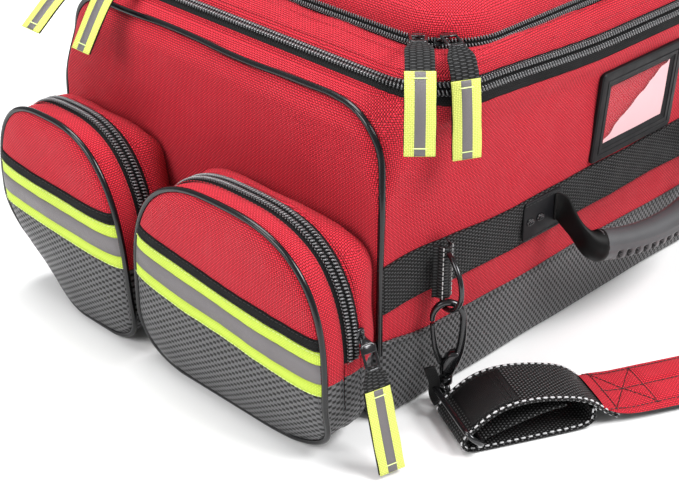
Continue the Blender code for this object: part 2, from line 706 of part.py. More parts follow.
# ---- assembly --------------------------------------------------------------------------------
def build():
    body_shell()
    base_pieces()
    base_boot()
    divider()
    end_piping("end_piping_left", -1)
    end_piping("end_piping_right", 1)
    zip_tape("main_zip_lower", LID_HALF_X + 0.006, LID_HALF_Y - GAP, 0.055, RIM_Z + GAP,
             ZIP_OPEN_Y)
    zip_tape("main_zip_upper", LID_HALF_X - 0.0005, LID_HALF_Y - 0.001, LID_CORNER,
             LID_BOTTOM_Z - GAP - TAPE_THICK, ZIP_OPEN_Y)
    lid()
    zip_tape("top_zip", TOP_HALF_X, TOP_HALF_Y, TOP_CORNER, LID_TOP_Z + 0.0010, 0.100)
    top_pocket_cover()
    top_pulls()
    main_pulls()
    for tag, side, middle, half in (("near_left", -1, NEAR_MIDDLE, NEAR_HALF),
                                    ("far_left", -1, FAR_MIDDLE, FAR_HALF),
                                    ("near_right", 1, NEAR_MIDDLE, NEAR_HALF),
                                    ("far_right", 1, FAR_MIDDLE, FAR_HALF)):
        pocket_back(tag, side, middle, half)
        pocket_front(tag, side, middle, half)
        pocket_trim(tag, side, middle, half)
        pocket_pull(tag, side, middle, half)
        if side < 0:
            pocket_piping(tag, side, middle, half)
    webbing_band("webbing_front", -1)
    webbing_band("webbing_back", 1)
    d_ring("d_ring_left", -DRING_X, -90.0 - DRING_YAW)
    d_ring("d_ring_right", DRING_X, -90.0)
    identity_window()
    handle("front", -1)
    handle("back", 1)
    holder, tail_end = shoulder_strap()
    hooks(holder, tail_end)


build()
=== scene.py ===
"""Looks of the trauma bag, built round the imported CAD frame. Metres, +Z up."""

import math

import bpy
import numpy as np
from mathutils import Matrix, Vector, noise
from mathutils.bvhtree import BVHTree


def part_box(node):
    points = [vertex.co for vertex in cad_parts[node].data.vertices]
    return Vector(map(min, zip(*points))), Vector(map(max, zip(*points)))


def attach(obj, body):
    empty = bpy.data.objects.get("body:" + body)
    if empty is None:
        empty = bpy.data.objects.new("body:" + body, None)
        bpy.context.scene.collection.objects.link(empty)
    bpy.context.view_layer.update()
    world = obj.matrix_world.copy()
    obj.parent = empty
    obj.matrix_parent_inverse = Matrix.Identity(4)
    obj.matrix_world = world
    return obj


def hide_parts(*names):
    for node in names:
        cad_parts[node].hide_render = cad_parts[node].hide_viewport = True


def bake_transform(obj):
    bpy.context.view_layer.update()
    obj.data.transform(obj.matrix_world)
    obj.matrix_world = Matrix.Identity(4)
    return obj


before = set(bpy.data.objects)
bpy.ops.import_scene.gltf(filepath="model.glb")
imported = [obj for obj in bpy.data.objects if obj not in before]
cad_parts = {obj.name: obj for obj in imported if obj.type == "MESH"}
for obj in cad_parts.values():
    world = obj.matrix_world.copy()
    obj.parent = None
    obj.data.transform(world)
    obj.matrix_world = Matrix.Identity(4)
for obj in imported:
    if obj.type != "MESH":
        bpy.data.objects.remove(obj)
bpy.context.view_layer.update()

UP = np.array((0.0, 0.0, 1.0))
SPECK = 0.001            # share of a ring's size left where a cover closes in its middle

# ---- sizes shared with the CAD model ---------------------------------------------------
END_X, SIDE_Y, WALL_CORNER = 0.2730, 0.1755, 0.006      # the walls at the foot
FLARE = 0.073            # how far a long wall leans out for each metre of height
ZIP_HALF_X, ZIP_HALF_Y, ZIP_CORNER = 0.2395, 0.1865, 0.050
TOP_HALF_X, TOP_HALF_Y, TOP_CORNER = 0.2030, 0.1720, 0.045
POCKETS = (("near_left", -1, -0.0865, 0.0985), ("far_left", -1, 0.1035, 0.0745),
           ("near_right", 1, -0.0865, 0.0985), ("far_right", 1, 0.1035, 0.0745))


# ---- shader building -------------------------------------------------------------------
class Shader:
    """A Principled material and short calls for the nodes that feed it."""

    def __init__(self, name, colour, roughness, **sockets):
        self.material = bpy.data.materials.new(name)
        self.material.use_nodes = True
        self.tree = self.material.node_tree
        self.bsdf = self.tree.nodes["Principled BSDF"]
        self.bsdf.inputs["Base Color"].default_value = (*colour, 1.0)
        self.bsdf.inputs["Roughness"].default_value = roughness
        for key, value in sockets.items():
            self.bsdf.inputs[key.replace("_", " ")].default_value = value

    def add(self, kind, *inputs, **settings):
        node = self.tree.nodes.new("ShaderNode" + kind)
        for key, value in settings.items():
            setattr(node, key, value)
        for socket, value in zip(node.inputs, inputs):
            if isinstance(value, bpy.types.NodeSocket):
                self.tree.links.new(value, socket)
            elif value is not None:
                socket.default_value = value
        return node

    def math(self, operation, *inputs):
        return self.add("Math", *inputs, operation=operation).outputs[0]

    def remap(self, value, low, high, to_low, to_high):
        return self.add("MapRange", value, low, high, to_low, to_high).outputs[0]

    def noise(self, scale, detail=2.0):
        place = self.add("TexCoord").outputs["Object"]
        return self.add("TexNoise", place, None, scale, detail).outputs[0]

    def uv(self):
        split = self.add("SeparateXYZ", self.add("UVMap").outputs[0])
        return split.outputs[0], split.outputs[1]

    def blend(self, factor, first, second):
        node = self.add("Mix", data_type="RGBA")
        self.tree.links.new(factor, node.inputs[0])
        for socket, value in ((node.inputs[6], first), (node.inputs[7], second)):
            if isinstance(value, bpy.types.NodeSocket):
                self.tree.links.new(value, socket)
            else:
                socket.default_value = (*value, 1.0)
        return node.outputs[2]

    def feed(self, socket, value):
        self.tree.links.new(value, self.bsdf.inputs[socket])

    def bump(self, height, strength, distance, base=None):
        node = self.add("Bump", strength, distance)
        self.tree.links.new(height, node.inputs["Height"])
        if base is not None:
            self.tree.links.new(base, node.inputs["Normal"])
        return node.outputs[0]

    def waves(self, pitch_u, pitch_v):
        """Sine waves along both directions of the cloth, half a wave to a pitch."""
        u, v = self.uv()
        return (self.math("SINE", self.math("MULTIPLY", u, math.pi / pitch_u)),
                self.math("SINE", self.math("MULTIPLY", v, math.pi / pitch_v)))

    def weave(self, pitch_u, pitch_v):
        """Height of a plain weave, and 1 where the lengthwise thread is on top."""
        wave_u, wave_v = self.waves(pitch_u, pitch_v)
        over = self.math("GREATER_THAN", self.math("MULTIPLY", wave_u, wave_v), 0.0)
        side_u = self.math("ABSOLUTE", wave_u)
        side_v = self.math("ABSOLUTE", wave_v)
        long_thread = self.math("MULTIPLY", side_v, self.math("POWER", side_u, 0.4))
        cross_thread = self.math("MULTIPLY", side_u, self.math("POWER", side_v, 0.4))
        gain = self.math("SUBTRACT", long_thread, cross_thread)
        return self.math("MULTIPLY_ADD", over, gain, cross_thread), over


def woven(name, light, gap_shade_colour, cross, pitch, roughness, depth, gap=0.08, **sockets):
    """Cloth: light threads one way, slightly darker the other way, painted shade in the gaps
    between.
    """
    s = Shader(name, light, roughness, **sockets)
    height, over = s.weave(*pitch)
    threads = s.blend(over, cross, light)
    # Painted shade: the colour darkens where the weave is low, in the gaps between threads.
    gap_shade = s.remap(height, gap, gap + 0.64, 0.0, 1.0)
    patch = s.remap(s.noise(22.0, 4.0), 0.3, 0.7, 0.0, 1.0)
    mixed = s.blend(gap_shade, gap_shade_colour, threads)
    soft = s.add("Mix", data_type="RGBA", blend_type="MULTIPLY")
    soft.inputs[0].default_value = 0.35
    s.tree.links.new(mixed, soft.inputs[6])
    s.tree.links.new(s.blend(patch, (0.82, 0.82, 0.82), (1.0, 1.0, 1.0)), soft.inputs[7])
    s.feed("Base Color", soft.outputs[2])
    fine = s.bump(height, 0.8, depth)
    s.feed("Normal", s.bump(s.noise(160.0, 3.0), 0.25, 0.0008, fine))
    s.feed("Roughness", s.remap(s.noise(60.0), 0.3, 0.7, roughness - 0.06, roughness + 0.05))
    return s.material


def embossed(name, pitch_u, pitch_v):
    """Coated cloth stamped with staggered scales, with painted shade darkening their hollows."""
    s = Shader(name, (0.05, 0.05, 0.055), 0.42, Specular_IOR_Level=0.45)
    height = s.remap(s.math("MULTIPLY", *s.waves(pitch_u, pitch_v)), -0.50, 0.25, 0.0, 1.0)
    # Painted shade: the colour goes near black in the stamped hollows and stays grey on the raised
    # scales.
    s.feed("Base Color", s.blend(height, (0.001, 0.001, 0.001), (0.105, 0.104, 0.108)))
    s.feed("Roughness", s.remap(height, 0.0, 1.0, 0.62, 0.40))
    grain = s.bump(s.noise(900.0, 3.0), 0.2, 0.0003)
    s.feed("Normal", s.bump(height, 0.9, 0.0009, grain))
    return s.material


def plain(name, colour, roughness, grain=600.0, depth=0.0002, **sockets):
    """Moulded, painted or coated surface with a fine grain and slightly uneven gloss."""
    s = Shader(name, colour, roughness, **sockets)
    patch = s.remap(s.noise(35.0, 4.0), 0.3, 0.7, 0.0, 1.0)
    s.feed("Base Color", s.blend(patch, tuple(c * 0.88 for c in colour),
                                 tuple(min(1.0, c * 1.12) for c in colour)))
    s.feed("Roughness", s.remap(s.noise(90.0, 4.0), 0.3, 0.7, roughness * 0.85, roughness * 1.2))
    s.feed("Normal", s.bump(s.noise(grain, 3.0), 0.3, depth))
    return s.material


def window_film():
    """Clear vinyl, with a painted pale reflection over its lower right half."""
    s = Shader("film_painted_reflection", (0.86, 0.50, 0.53), 0.12, Alpha=0.75, Specular_IOR_Level=0.5)
    u, v = s.uv()
    # Painted reflection: below this wavy diagonal the film turns pale and nearly opaque, standing in
    # for the light it reflects.
    edge = s.math("SUBTRACT", s.math("MULTIPLY", u, 0.62), v)
    edge = s.math("ADD", edge, s.math("MULTIPLY", s.noise(45.0, 3.0), 0.014))
    painted_reflection = s.remap(edge, 0.0040, 0.0050, 0.06, 0.80)
    s.feed("Alpha", painted_reflection)
    s.feed("Normal", s.bump(s.noise(25.0), 0.3, 0.002))
    s.material.surface_render_method = "BLENDED"
    return s.material


RED_LIGHT, RED_CROSS, RED_GAP_SHADE = (0.95, 0.026, 0.058), (0.66, 0.008, 0.026), (0.10, 0.0, 0.003)
RED = woven("red_oxford", RED_LIGHT, RED_GAP_SHADE, RED_CROSS, (0.0014, 0.0014), 0.74, 0.0009, 0.14,
            Sheen_Weight=0.06, Sheen_Roughness=0.5, Sheen_Tint=(1.0, 0.6, 0.6, 1.0),
            Specular_IOR_Level=0.30)
LINING = woven("red_lining", (0.30, 0.010, 0.020), (0.10, 0.003, 0.006), (0.26, 0.009, 0.018),
               (0.0006, 0.0006), 0.55, 0.0002)
SCALES = embossed("embossed_scales", 0.0038, 0.0025)
BELT_SCALES = embossed("belt_scales", 0.0024, 0.0030)
# Painted highlight: the thread colour is lighter than the webbing's own near-black, standing in for
# glints on its weave.
WEBBING = woven("black_webbing", (0.095, 0.095, 0.098), (0.001, 0.001, 0.001),
                (0.006, 0.006, 0.006), (0.0031, 0.0014), 0.62, 0.0014, 0.26,
                Specular_IOR_Level=0.22)
TAPE = woven("zip_tape_weave", (0.012, 0.012, 0.013), (0.002, 0.002, 0.002),
             (0.004, 0.004, 0.004), (0.0010, 0.0014), 0.70, 0.0003, Specular_IOR_Level=0.15)
# Painted highlight: the coil is lighter than its own black, standing in for the bright glints on its
# teeth.
COIL = plain("zip_coil", (0.115, 0.115, 0.120), 0.20, Specular_IOR_Level=0.9)
PVC = plain("piping_vinyl", (0.004, 0.004, 0.005), 0.20, 300.0, 0.0001,
            Specular_IOR_Level=0.40)
# Painted glow: a little emission brightens the lime tape beyond its own colour.
LIME = woven("lime_tape", (0.70, 0.86, 0.100), (0.34, 0.48, 0.020), (0.58, 0.74, 0.060),
             (0.0011, 0.0011), 0.60, 0.0003, Emission_Color=(0.50, 0.78, 0.05, 1.0),
             Emission_Strength=0.06)
# Painted glow: a little emission brightens the pull's lime tape beyond its own colour.
PULL_LIME = woven("pull_lime_tape", (0.84, 0.88, 0.230), (0.40, 0.46, 0.050), (0.70, 0.77, 0.150),
                  (0.0012, 0.0012), 0.60, 0.0003, Emission_Color=(0.60, 0.72, 0.10, 1.0),
                  Emission_Strength=0.06)
SILVER = woven("silver_tape", (0.205, 0.192, 0.196), (0.11, 0.10, 0.105),
               (0.165, 0.153, 0.157), (0.0005, 0.0005), 0.42, 0.0001, Metallic=0.3)
GUNMETAL = plain("gunmetal", (0.022, 0.022, 0.024), 0.22, 500.0, 0.0001, Metallic=0.75,
                 Coat_Weight=0.5, Coat_Roughness=0.12)
RUBBER = plain("grip_rubber", (0.060, 0.060, 0.064), 0.42, 1400.0, 0.0003)
MOULDED = plain("moulded_frame", (0.005, 0.005, 0.006), 0.48, 1200.0, 0.0002,
                Specular_IOR_Level=0.20)
BOARD = plain("stiff_board", (0.035, 0.035, 0.035), 0.60, 400.0, 0.0003)
FILM = window_film()
RIBBED = woven("ribbed_webbing", (0.080, 0.080, 0.083), (0.001, 0.001, 0.001),
               (0.008, 0.008, 0.008), (0.0040, 0.0012), 0.60, 0.0012, 0.25,
               Specular_IOR_Level=0.25)
STRAP_WEB = woven("strap_webbing", (0.120, 0.120, 0.122), (0.001, 0.001, 0.001),
                  (0.006, 0.006, 0.006), (0.0015, 0.0024), 0.58, 0.0016, 0.30,
                  Specular_IOR_Level=0.25)
SMOOTH_TAPE = woven("smooth_black_tape", (0.010, 0.010, 0.011), (0.003, 0.003, 0.003),
                    (0.005, 0.005, 0.005), (0.0012, 0.0009), 0.50, 0.0003,
                    Specular_IOR_Level=0.25)
NECK = plain("handle_neck", (0.003, 0.003, 0.003), 0.50, 900.0, 0.0002,
             Specular_IOR_Level=0.15)
THREAD_PALE = plain("pale_edge_thread", (0.55, 0.55, 0.56), 0.55)
THREAD_RED = plain("red_thread", (0.42, 0.012, 0.025), 0.60)
THREAD_BLACK = plain("black_thread", (0.008, 0.008, 0.008), 0.50)
THREAD_GREY = plain("pale_thread", (0.45, 0.45, 0.45), 0.50)
THREAD_LIME = plain("lime_thread", (0.75, 0.88, 0.35), 0.55)


# ---- mesh building ---------------------------------------------------------------------
class Mesh:
    """Collects grids and bars, then makes one object with UVs in metres."""

    def __init__(self):
        self.points, self.faces, self.uvs, self.slots = [], [], [], []
        self.count = 0

    def grid(self, rows, closed=False, slot=0, flip=False, flat=False, cap=False):
        """Quads over rows of points; slot may be a function of a face's middle."""
        rows = np.asarray(rows, float)
        n_rows, n_cols = rows.shape[:2]
        base = self.count
        self.points.append(rows.reshape(-1, 3))
        self.count += n_rows * n_cols
        wrap = np.concatenate([rows, rows[:, :1]], axis=1)
        along = np.cumsum(np.linalg.norm(np.diff(wrap, axis=1), axis=2).mean(axis=0))
        along = np.concatenate([[0.0], along])
        across = np.cumsum(np.linalg.norm(np.diff(rows, axis=0), axis=2).mean(axis=1))
        across = np.concatenate([[0.0], across])
        for i in range(n_rows - 1):
            for j in range(n_cols if closed else n_cols - 1):
                k = (j + 1) % n_cols
                quad = [(i, j), (i, k), (i + 1, k), (i + 1, j)]
                uv = [(along[j], across[i]), (along[j + 1], across[i]),
                      (along[j + 1], across[i + 1]), (along[j], across[i + 1])]
                if flip:
                    quad.reverse()
                    uv.reverse()
                corners = [rows[a, b] for a, b in quad]
                self._face([base + a * n_cols + b for a, b in quad], corners, uv, slot, flat)
        if cap:
            for i, backward in ((0, not flip), (n_rows - 1, flip)):
                loop = list(range(n_cols))
                if backward:
                    loop.reverse()
                corners = [rows[i, j] for j in loop]
                self._face([base + i * n_cols + j for j in loop], corners, None, slot, True)
        return self

    def _face(self, loop, corners, uv, slot, flat):
        self.faces.append(loop)
        if flat or uv is None:
            a, b = corners[2] - corners[0], corners[-1] - corners[1]
            n = np.abs(np.array((a[1] * b[2] - a[2] * b[1], a[2] * b[0] - a[0] * b[2],
                                 a[0] * b[1] - a[1] * b[0])))
            axis = int(np.argmax(n))
            keep = [(1, 2), (0, 2), (0, 1)][axis]
            uv = [(c[keep[0]], c[keep[1]]) for c in corners]
        self.uvs.extend(uv)
        self.slots.append(slot(sum(corners) / len(corners)) if callable(slot) else slot)

    def bars(self, centres, axes, widths, normals, half, wide, high, sides=6, slot=0):
        """Short round-ended bars: half length along axes, half width and height across."""
        turns = [2 * math.pi * k / sides for k in range(sides)]
        stations = ((-1.0, 0.45), (-0.72, 1.0), (0.72, 1.0), (1.0, 0.45))
        for c, a, w, n in zip(centres, axes, widths, normals):
            ring = np.array([[c + a * half * s + (w * math.cos(t) * wide + n * math.sin(t) * high)
                              * size for t in turns] for s, size in stations])
            self.grid(ring, closed=True, slot=slot, cap=True)
        return self

    def make(self, name, body, slot, *materials, replaces=()):
        """One smooth object; it rides on body, unless that is None. Its slot is not used."""
        mesh = bpy.data.meshes.new(name)
        mesh.from_pydata(np.concatenate(self.points).tolist(), [], self.faces)
        layer = mesh.uv_layers.new(name="cloth")
        layer.data.foreach_set("uv", np.array(self.uvs, np.float32).ravel())
        for material in materials:
            mesh.materials.append(material)
        mesh.polygons.foreach_set("material_index", self.slots)
        mesh.shade_smooth()
        made = bpy.data.objects.new(name, mesh)
        bpy.context.scene.collection.objects.link(made)
        if body:
            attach(made, body)
        if replaces:
            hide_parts(*replaces)
        return made


def unit(v):
    """Vectors scaled to length 1."""
    v = np.asarray(v, float)
    return v / np.maximum(np.linalg.norm(v, axis=-1, keepdims=True), 1e-12)


def distances(points):
    """How far along a path each of its points is."""
    return np.concatenate([[0.0], np.cumsum(np.linalg.norm(np.diff(points, axis=0), axis=1))])


def read_at(at, where, rows):
    """Rows given at some places along a line, read at others."""
    return np.stack([np.interp(at, where, column) for column in np.transpose(rows)], axis=-1)


def level(points, height):
    """A flat outline's points, all at one height."""
    return np.column_stack([points, np.full(len(points), height)])


def upright(points):
    """Points (along, up) of a side view, in the XZ plane."""
    points = np.asarray(points, float)
    return np.column_stack([points[:, 0], np.zeros(len(points)), points[:, 1]])


def resample(points, step, closed=False):
    """Points spaced evenly by about step along a path."""
    points = np.asarray(points, float)
    if closed:
        points = np.concatenate([points, points[:1]])
    length = distances(points)
    count = max(2, int(round(length[-1] / step)) + 1)
    out = read_at(np.linspace(0.0, length[-1], count), length, points)
    return out[:-1] if closed else out


def smooth_path(points, rounds=2, closed=False):
    """Corner cutting, with the ends kept."""
    points = np.asarray(points, float)
    for _ in range(rounds):
        following = np.roll(points, -1, axis=0) if closed else points[1:]
        current = points if closed else points[:-1]
        cut = np.stack([0.75 * current + 0.25 * following, 0.25 * current + 0.75 * following],
                       axis=1).reshape(-1, points.shape[1])
        points = cut if closed else np.concatenate([points[:1], cut, points[-1:]])
    return points


def directions(points, closed=False):
    """Unit tangents of a path."""
    if closed:
        return unit(np.roll(points, -1, axis=0) - np.roll(points, 1, axis=0))
    return unit(np.gradient(points, axis=0))


def sweep(points, normals, profile, closed=False):
    """Rows of a profile of (across, outward) offsets carried along a path."""
    points = np.asarray(points, float)
    _, n, b = path_frames(points, normals, closed)
    return np.array([points + b * across + n * out for across, out in profile])


def circle(radius, sides=12, squash=1.0):
    """Profile of a round or oval wire."""
    return [(radius * math.cos(2 * math.pi * k / sides),
             radius * squash * math.sin(2 * math.pi * k / sides)) for k in range(sides)]


def rod(mesh, points, radius, normals=UP, closed=False, sides=12, slot=0, squash=1.0):
    """Round or oval wire along a path, with closed ends."""
    rows = sweep(points, normals, circle(radius, sides, squash), closed)
    rows = np.swapaxes(rows, 0, 1)
    if closed:
        rows = np.concatenate([rows, rows[:1]])
    return mesh.grid(rows, closed=True, slot=slot, cap=not closed, flip=True)


def stitches(mesh, points, normals, pitch=0.0040, fill=0.72, radius=0.00035, slot=0):
    """A line of separate stitches along a path."""
    spots = resample(points, pitch)
    n = np.broadcast_to(np.asarray(normals, float), np.shape(points))
    n = unit(read_at(np.linspace(0, 1, len(spots)), np.linspace(0, 1, len(n)), n))
    t = directions(spots)
    return mesh.bars(spots, t, np.cross(t, n), n, pitch * fill / 2, radius, radius, 5, slot)


def wobble(points, scale, amount, seed):
    """Smooth noise at each point, the same in each run."""
    flat = np.asarray(points).reshape(-1, 3)
    out = [noise.noise(Vector(p) * scale + Vector((seed, seed * 1.7, seed * 0.3))) for p in flat]
    return amount * np.array(out).reshape(np.asarray(points).shape[:-1])


def ease(value, low, high):
    """0 below low and 1 above high, with a smooth rise between."""
    t = np.clip((np.asarray(value, float) - low) / (high - low), 0.0, 1.0)
    return t * t * (3 - 2 * t)


# ---- bag body --------------------------------------------------------------------------
N_END, N_SIDE, N_CORNER = 52, 80, 14


def ring(half_x, half_y, corner):
    """Rounded rectangle, from the far left corner along the left end, the near side, the
    right end and the far side. Returns points and outward directions."""
    pts, outs = [], []
    legs = ((-half_x, half_y - corner, 0, -1, 2 * (half_y - corner), N_END, -1, 0, 180.0),
            (-half_x + corner, -half_y, 1, 0, 2 * (half_x - corner), N_SIDE, 0, -1, 270.0),
            (half_x, -half_y + corner, 0, 1, 2 * (half_y - corner), N_END, 1, 0, 0.0),
            (half_x - corner, half_y, -1, 0, 2 * (half_x - corner), N_SIDE, 0, 1, 90.0))
    for x, y, dx, dy, length, count, ox, oy, turn in legs:
        for k in range(count):
            s = length * k / count
            pts.append((x + dx * s, y + dy * s))
            outs.append((ox, oy))
        cx, cy = x + dx * length - ox * corner, y + dy * length - oy * corner
        for k in range(N_CORNER):
            a = math.radians(turn + 90.0 * k / N_CORNER)
            pts.append((cx + corner * math.cos(a), cy + corner * math.sin(a)))
            outs.append((math.cos(a), math.sin(a)))
    return np.array(pts), np.array(outs)


def long_side_weight(outs):
    """0 on the ends and 1 on both long sides."""
    return np.abs(outs[:, 1]) ** 1.5


U_COUNT = N_END + N_CORNER + N_SIDE + N_CORNER + N_END   # stations before the far side
ZIP_SKIP = 6                                             # of them without zip, at each end
ZIPPED = slice(ZIP_SKIP, U_COUNT - ZIP_SKIP)


def wall_outs():
    """Level outward directions of the walls, in three dimensions."""
    return level(ring(END_X, SIDE_Y, WALL_CORNER)[1], 0.0)


def zip_rail(offset_end, z_end, offset_side, z_side):
    """A line that follows the main zip, which sags a little along the near long side."""
    pts, outs = ring(ZIP_HALF_X, ZIP_HALF_Y, ZIP_CORNER)
    w = long_side_weight(outs)
    off = offset_end + (offset_side - offset_end) * w
    sag = 0.0045 - 0.0095 * ease(ZIP_HALF_X - np.abs(pts[:, 0]), 0.02, 0.20)
    sag[pts[:, 1] > 0.0] = 0.0
    z = z_end + (z_side - z_end + sag) * w
    return np.column_stack([pts + outs * off[:, None], z])


def wall_row(share, edge, w):
    """One level line round the walls: share runs from 0 at the foot to 1 at the zip's edge."""
    z = 0.050 + share * (edge[:, 2] - 0.050)
    reach = END_X + 0.0015 * math.sin(math.pi * min(1.0, share * 1.1))
    lean_out = 0.0008 + FLARE * np.maximum(0.0, z - 0.06)
    pts, outs = ring(reach, SIDE_Y, WALL_CORNER + 0.030 * ease(share, 0.60, 0.95))
    near_end = ease(END_X - np.abs(pts[:, 0]), 0.0, 0.11)
    pts = pts + outs * (lean_out * w * near_end)[:, None]
    pull = ease(share, 0.86, 1.0) * (1 - w) + ease(share, 0.90, 1.0) * w
    row = level(pts, z) * (1 - pull[:, None]) + edge * pull[:, None]
    row[:, 2] = z + (1 - w) * (0.0035 * np.sin(math.pi * pull) + 0.0015 * ease(share, 0.80, 1.0))
    return row


def body_panels():
    """Level lines of the walls' outside, from under the belt to the zip, slightly wrinkled."""
    edge = zip_rail(0.0100, 0.2448, 0.0045, 0.2275)
    outs = wall_outs()
    w = long_side_weight(outs)
    steps = np.concatenate([np.linspace(0.0, 0.72, 26), np.linspace(0.74, 1.0, 18)])
    rows = np.array([wall_row(share, edge, w) for share in steps])
    free = (ease(steps, 0.02, 0.2) * (1 - ease(steps, 0.85, 1.0)))[:, None]
    push = wobble(rows, 9.0, 0.0030, 3.1) + wobble(rows, 24.0, 0.0014, 7.7) \
        + wobble(rows * np.array((1.0, 1.0, 0.35)), 60.0, 0.0005, 1.3) - 0.0015
    push = np.where(rows[:, :, 1] < -0.1, np.minimum(push, 0.0004), push)
    corner_free = 1 - 0.85 * np.exp(-((np.abs(rows[:, :, 0]) - END_X) / 0.02) ** 2) \
        * np.exp(-((np.abs(rows[:, :, 1]) - SIDE_Y) / 0.02) ** 2)
    return rows + outs[None] * (push * free * corner_free)[:, :, None]


BODY_ROWS = body_panels()


def bag_body():
    """Red walls with their lining, and the floor of the bag."""
    inner = [zip_rail(0.0095, 0.2440, 0.0038, 0.2268)]
    for index in (40, 36, 30, 24, 16, 8, 2):
        drop = 0.004 if index > 34 else 0.0
        inner.append(BODY_ROWS[index] - wall_outs() * 0.008 - (0.0, 0.0, drop))
    floor, _ = ring(END_X - 0.009, SIDE_Y - 0.009, 0.012)
    inner += [level(floor, 0.0125), level(floor * SPECK, 0.0125)]
    foot, _ = ring(END_X - 0.003, SIDE_Y - 0.003, 0.010)
    m = Mesh()
    m.grid(np.concatenate([level(foot, 0.004)[None], BODY_ROWS]), closed=True, flat=True)
    m.grid(np.array([BODY_ROWS[-1]] + inner), closed=True, slot=1, flat=True)
    m.make("bag_body", "root", "red_fabric", RED, LINING, replaces=("body_shell",))


# ---- camera, light, floor --------------------------------------------------------------
def softbox(name, place, target, width, height, power):
    lamp = bpy.data.lights.new(name, "AREA")
    lamp.shape = "RECTANGLE"
    lamp.size, lamp.size_y, lamp.energy = width, height, power
    box = bpy.data.objects.new(name, lamp)
    box.location = place
    box.rotation_euler = (Vector(target) - Vector(place)).to_track_quat("-Z", "Y").to_euler()
    bpy.context.scene.collection.objects.link(box)


def stage():
    """White floor, pale world, three soft lights and the camera."""
    size = 6.0
    floor = bpy.data.meshes.new("floor")
    floor.from_pydata([(-size, -size, 0), (size, -size, 0), (size, size, 0), (-size, size, 0)],
                      [], [(0, 1, 2, 3)])
    white = Shader("white_floor", (0.93, 0.93, 0.93), 0.75)
    floor.materials.append(white.material)
    made = bpy.data.objects.new("floor", floor)
    made.location.z = -0.0005
    bpy.context.scene.collection.objects.link(made)

    world = bpy.data.worlds.new("studio")
    bpy.context.scene.world = world
    world.use_nodes = True
    world.node_tree.nodes["Background"].inputs[0].default_value = (1.0, 1.0, 1.0, 1.0)
    world.node_tree.nodes["Background"].inputs[1].default_value = 0.42

    bpy.context.scene.view_settings.view_transform = "Standard"
    softbox("key", (0.6, -1.6, 2.0), (0.0, 0.0, 0.1), 1.3, 0.9, 72.0)
    softbox("fill", (-2.0, 0.4, 1.3), (-0.2, 0.0, 0.1), 1.1, 1.1, 28.0)
    softbox("top", (0.0, 0.6, 2.2), (0.0, 0.0, 0.1), 1.6, 1.0, 46.0)

    camera = bpy.data.cameras.new("camera")
    camera.sensor_width = 36.0
    camera.lens = 85.36
    camera.clip_start = 0.01
    eye = bpy.data.objects.new("camera", camera)
    eye.location = (-0.9606, -0.8230, 0.6862)
    eye.rotation_euler = (math.radians(60.3), 0.0, math.radians(-45.0))
    bpy.context.scene.collection.objects.link(eye)
    bpy.context.scene.camera = eye


# ---- lid and top pocket ----------------------------------------------------------------
def top_rail(offset, height):
    """A level line that follows the top pocket's zip."""
    pts, outs = ring(TOP_HALF_X, TOP_HALF_Y, TOP_CORNER)
    return level(pts + outs * offset, height)


LID_SEAM = top_rail(0.0035, 0.2625)          # where the lid meets the top pocket


def lid_row(share):
    """The lid's crowned rim, from 0 at the zip to 1 at the top pocket."""
    crown = 0.0030 + 0.0035 * long_side_weight(ring(ZIP_HALF_X, ZIP_HALF_Y, ZIP_CORNER)[1])
    row = zip_rail(-0.0078, 0.2482, 0.0004, 0.2464) * (1 - share) + LID_SEAM * share
    row[:, 2] += crown * math.sin(math.pi * share ** 0.8) ** 0.7
    return row


def lid():
    """Crowned lid with its lining and the stitching round its rim."""
    edge = lid_row(0.0)
    under = zip_rail(-0.0095, 0.2462, -0.0030, 0.2450)
    rows = [edge] + [lid_row(f) for f in (0.05, 0.12, 0.20, 0.30, 0.42, 0.54, 0.66, 0.78, 0.88)]
    rows = np.array(rows + [LID_SEAM, top_rail(-0.006, 0.2628), top_rail(-0.02, 0.2624)])
    free = np.sin(np.linspace(0, math.pi, len(rows)))[:, None]
    rows[:, :, 2] += wobble(rows, 30.0, 0.0016, 5.0) * free
    top, outs = ring(TOP_HALF_X, TOP_HALF_Y, TOP_CORNER)
    m = Mesh()
    m.grid(np.concatenate([rows, level(top * SPECK, 0.2620)[None]]), closed=True, flat=True)
    m.grid([edge, under, under * (0.96, 0.96, 1.0), level(top * SPECK, 0.2450)], closed=True,
           flip=True, flat=True, slot=1)
    m.make("lid_cover", "lid", "red_fabric", RED, LINING, replaces=("lid_panel",))
    normals = unit(level(outs, 1.2))
    t = Mesh()
    for share in (0.16, 0.62):
        line = lid_row(share) + UP * 0.0003
        stitches(t, line[:U_COUNT], normals[:U_COUNT], radius=0.0003)
    t.make("lid_stitching", "lid", "red_fabric", THREAD_RED)


def drawn_in(points, outs):
    """Far edge of the top pocket, which its hinge draws towards the middle."""
    points[..., 1] -= 0.0045 * ease(outs[:, 1], 0.6, 1.0)
    return points


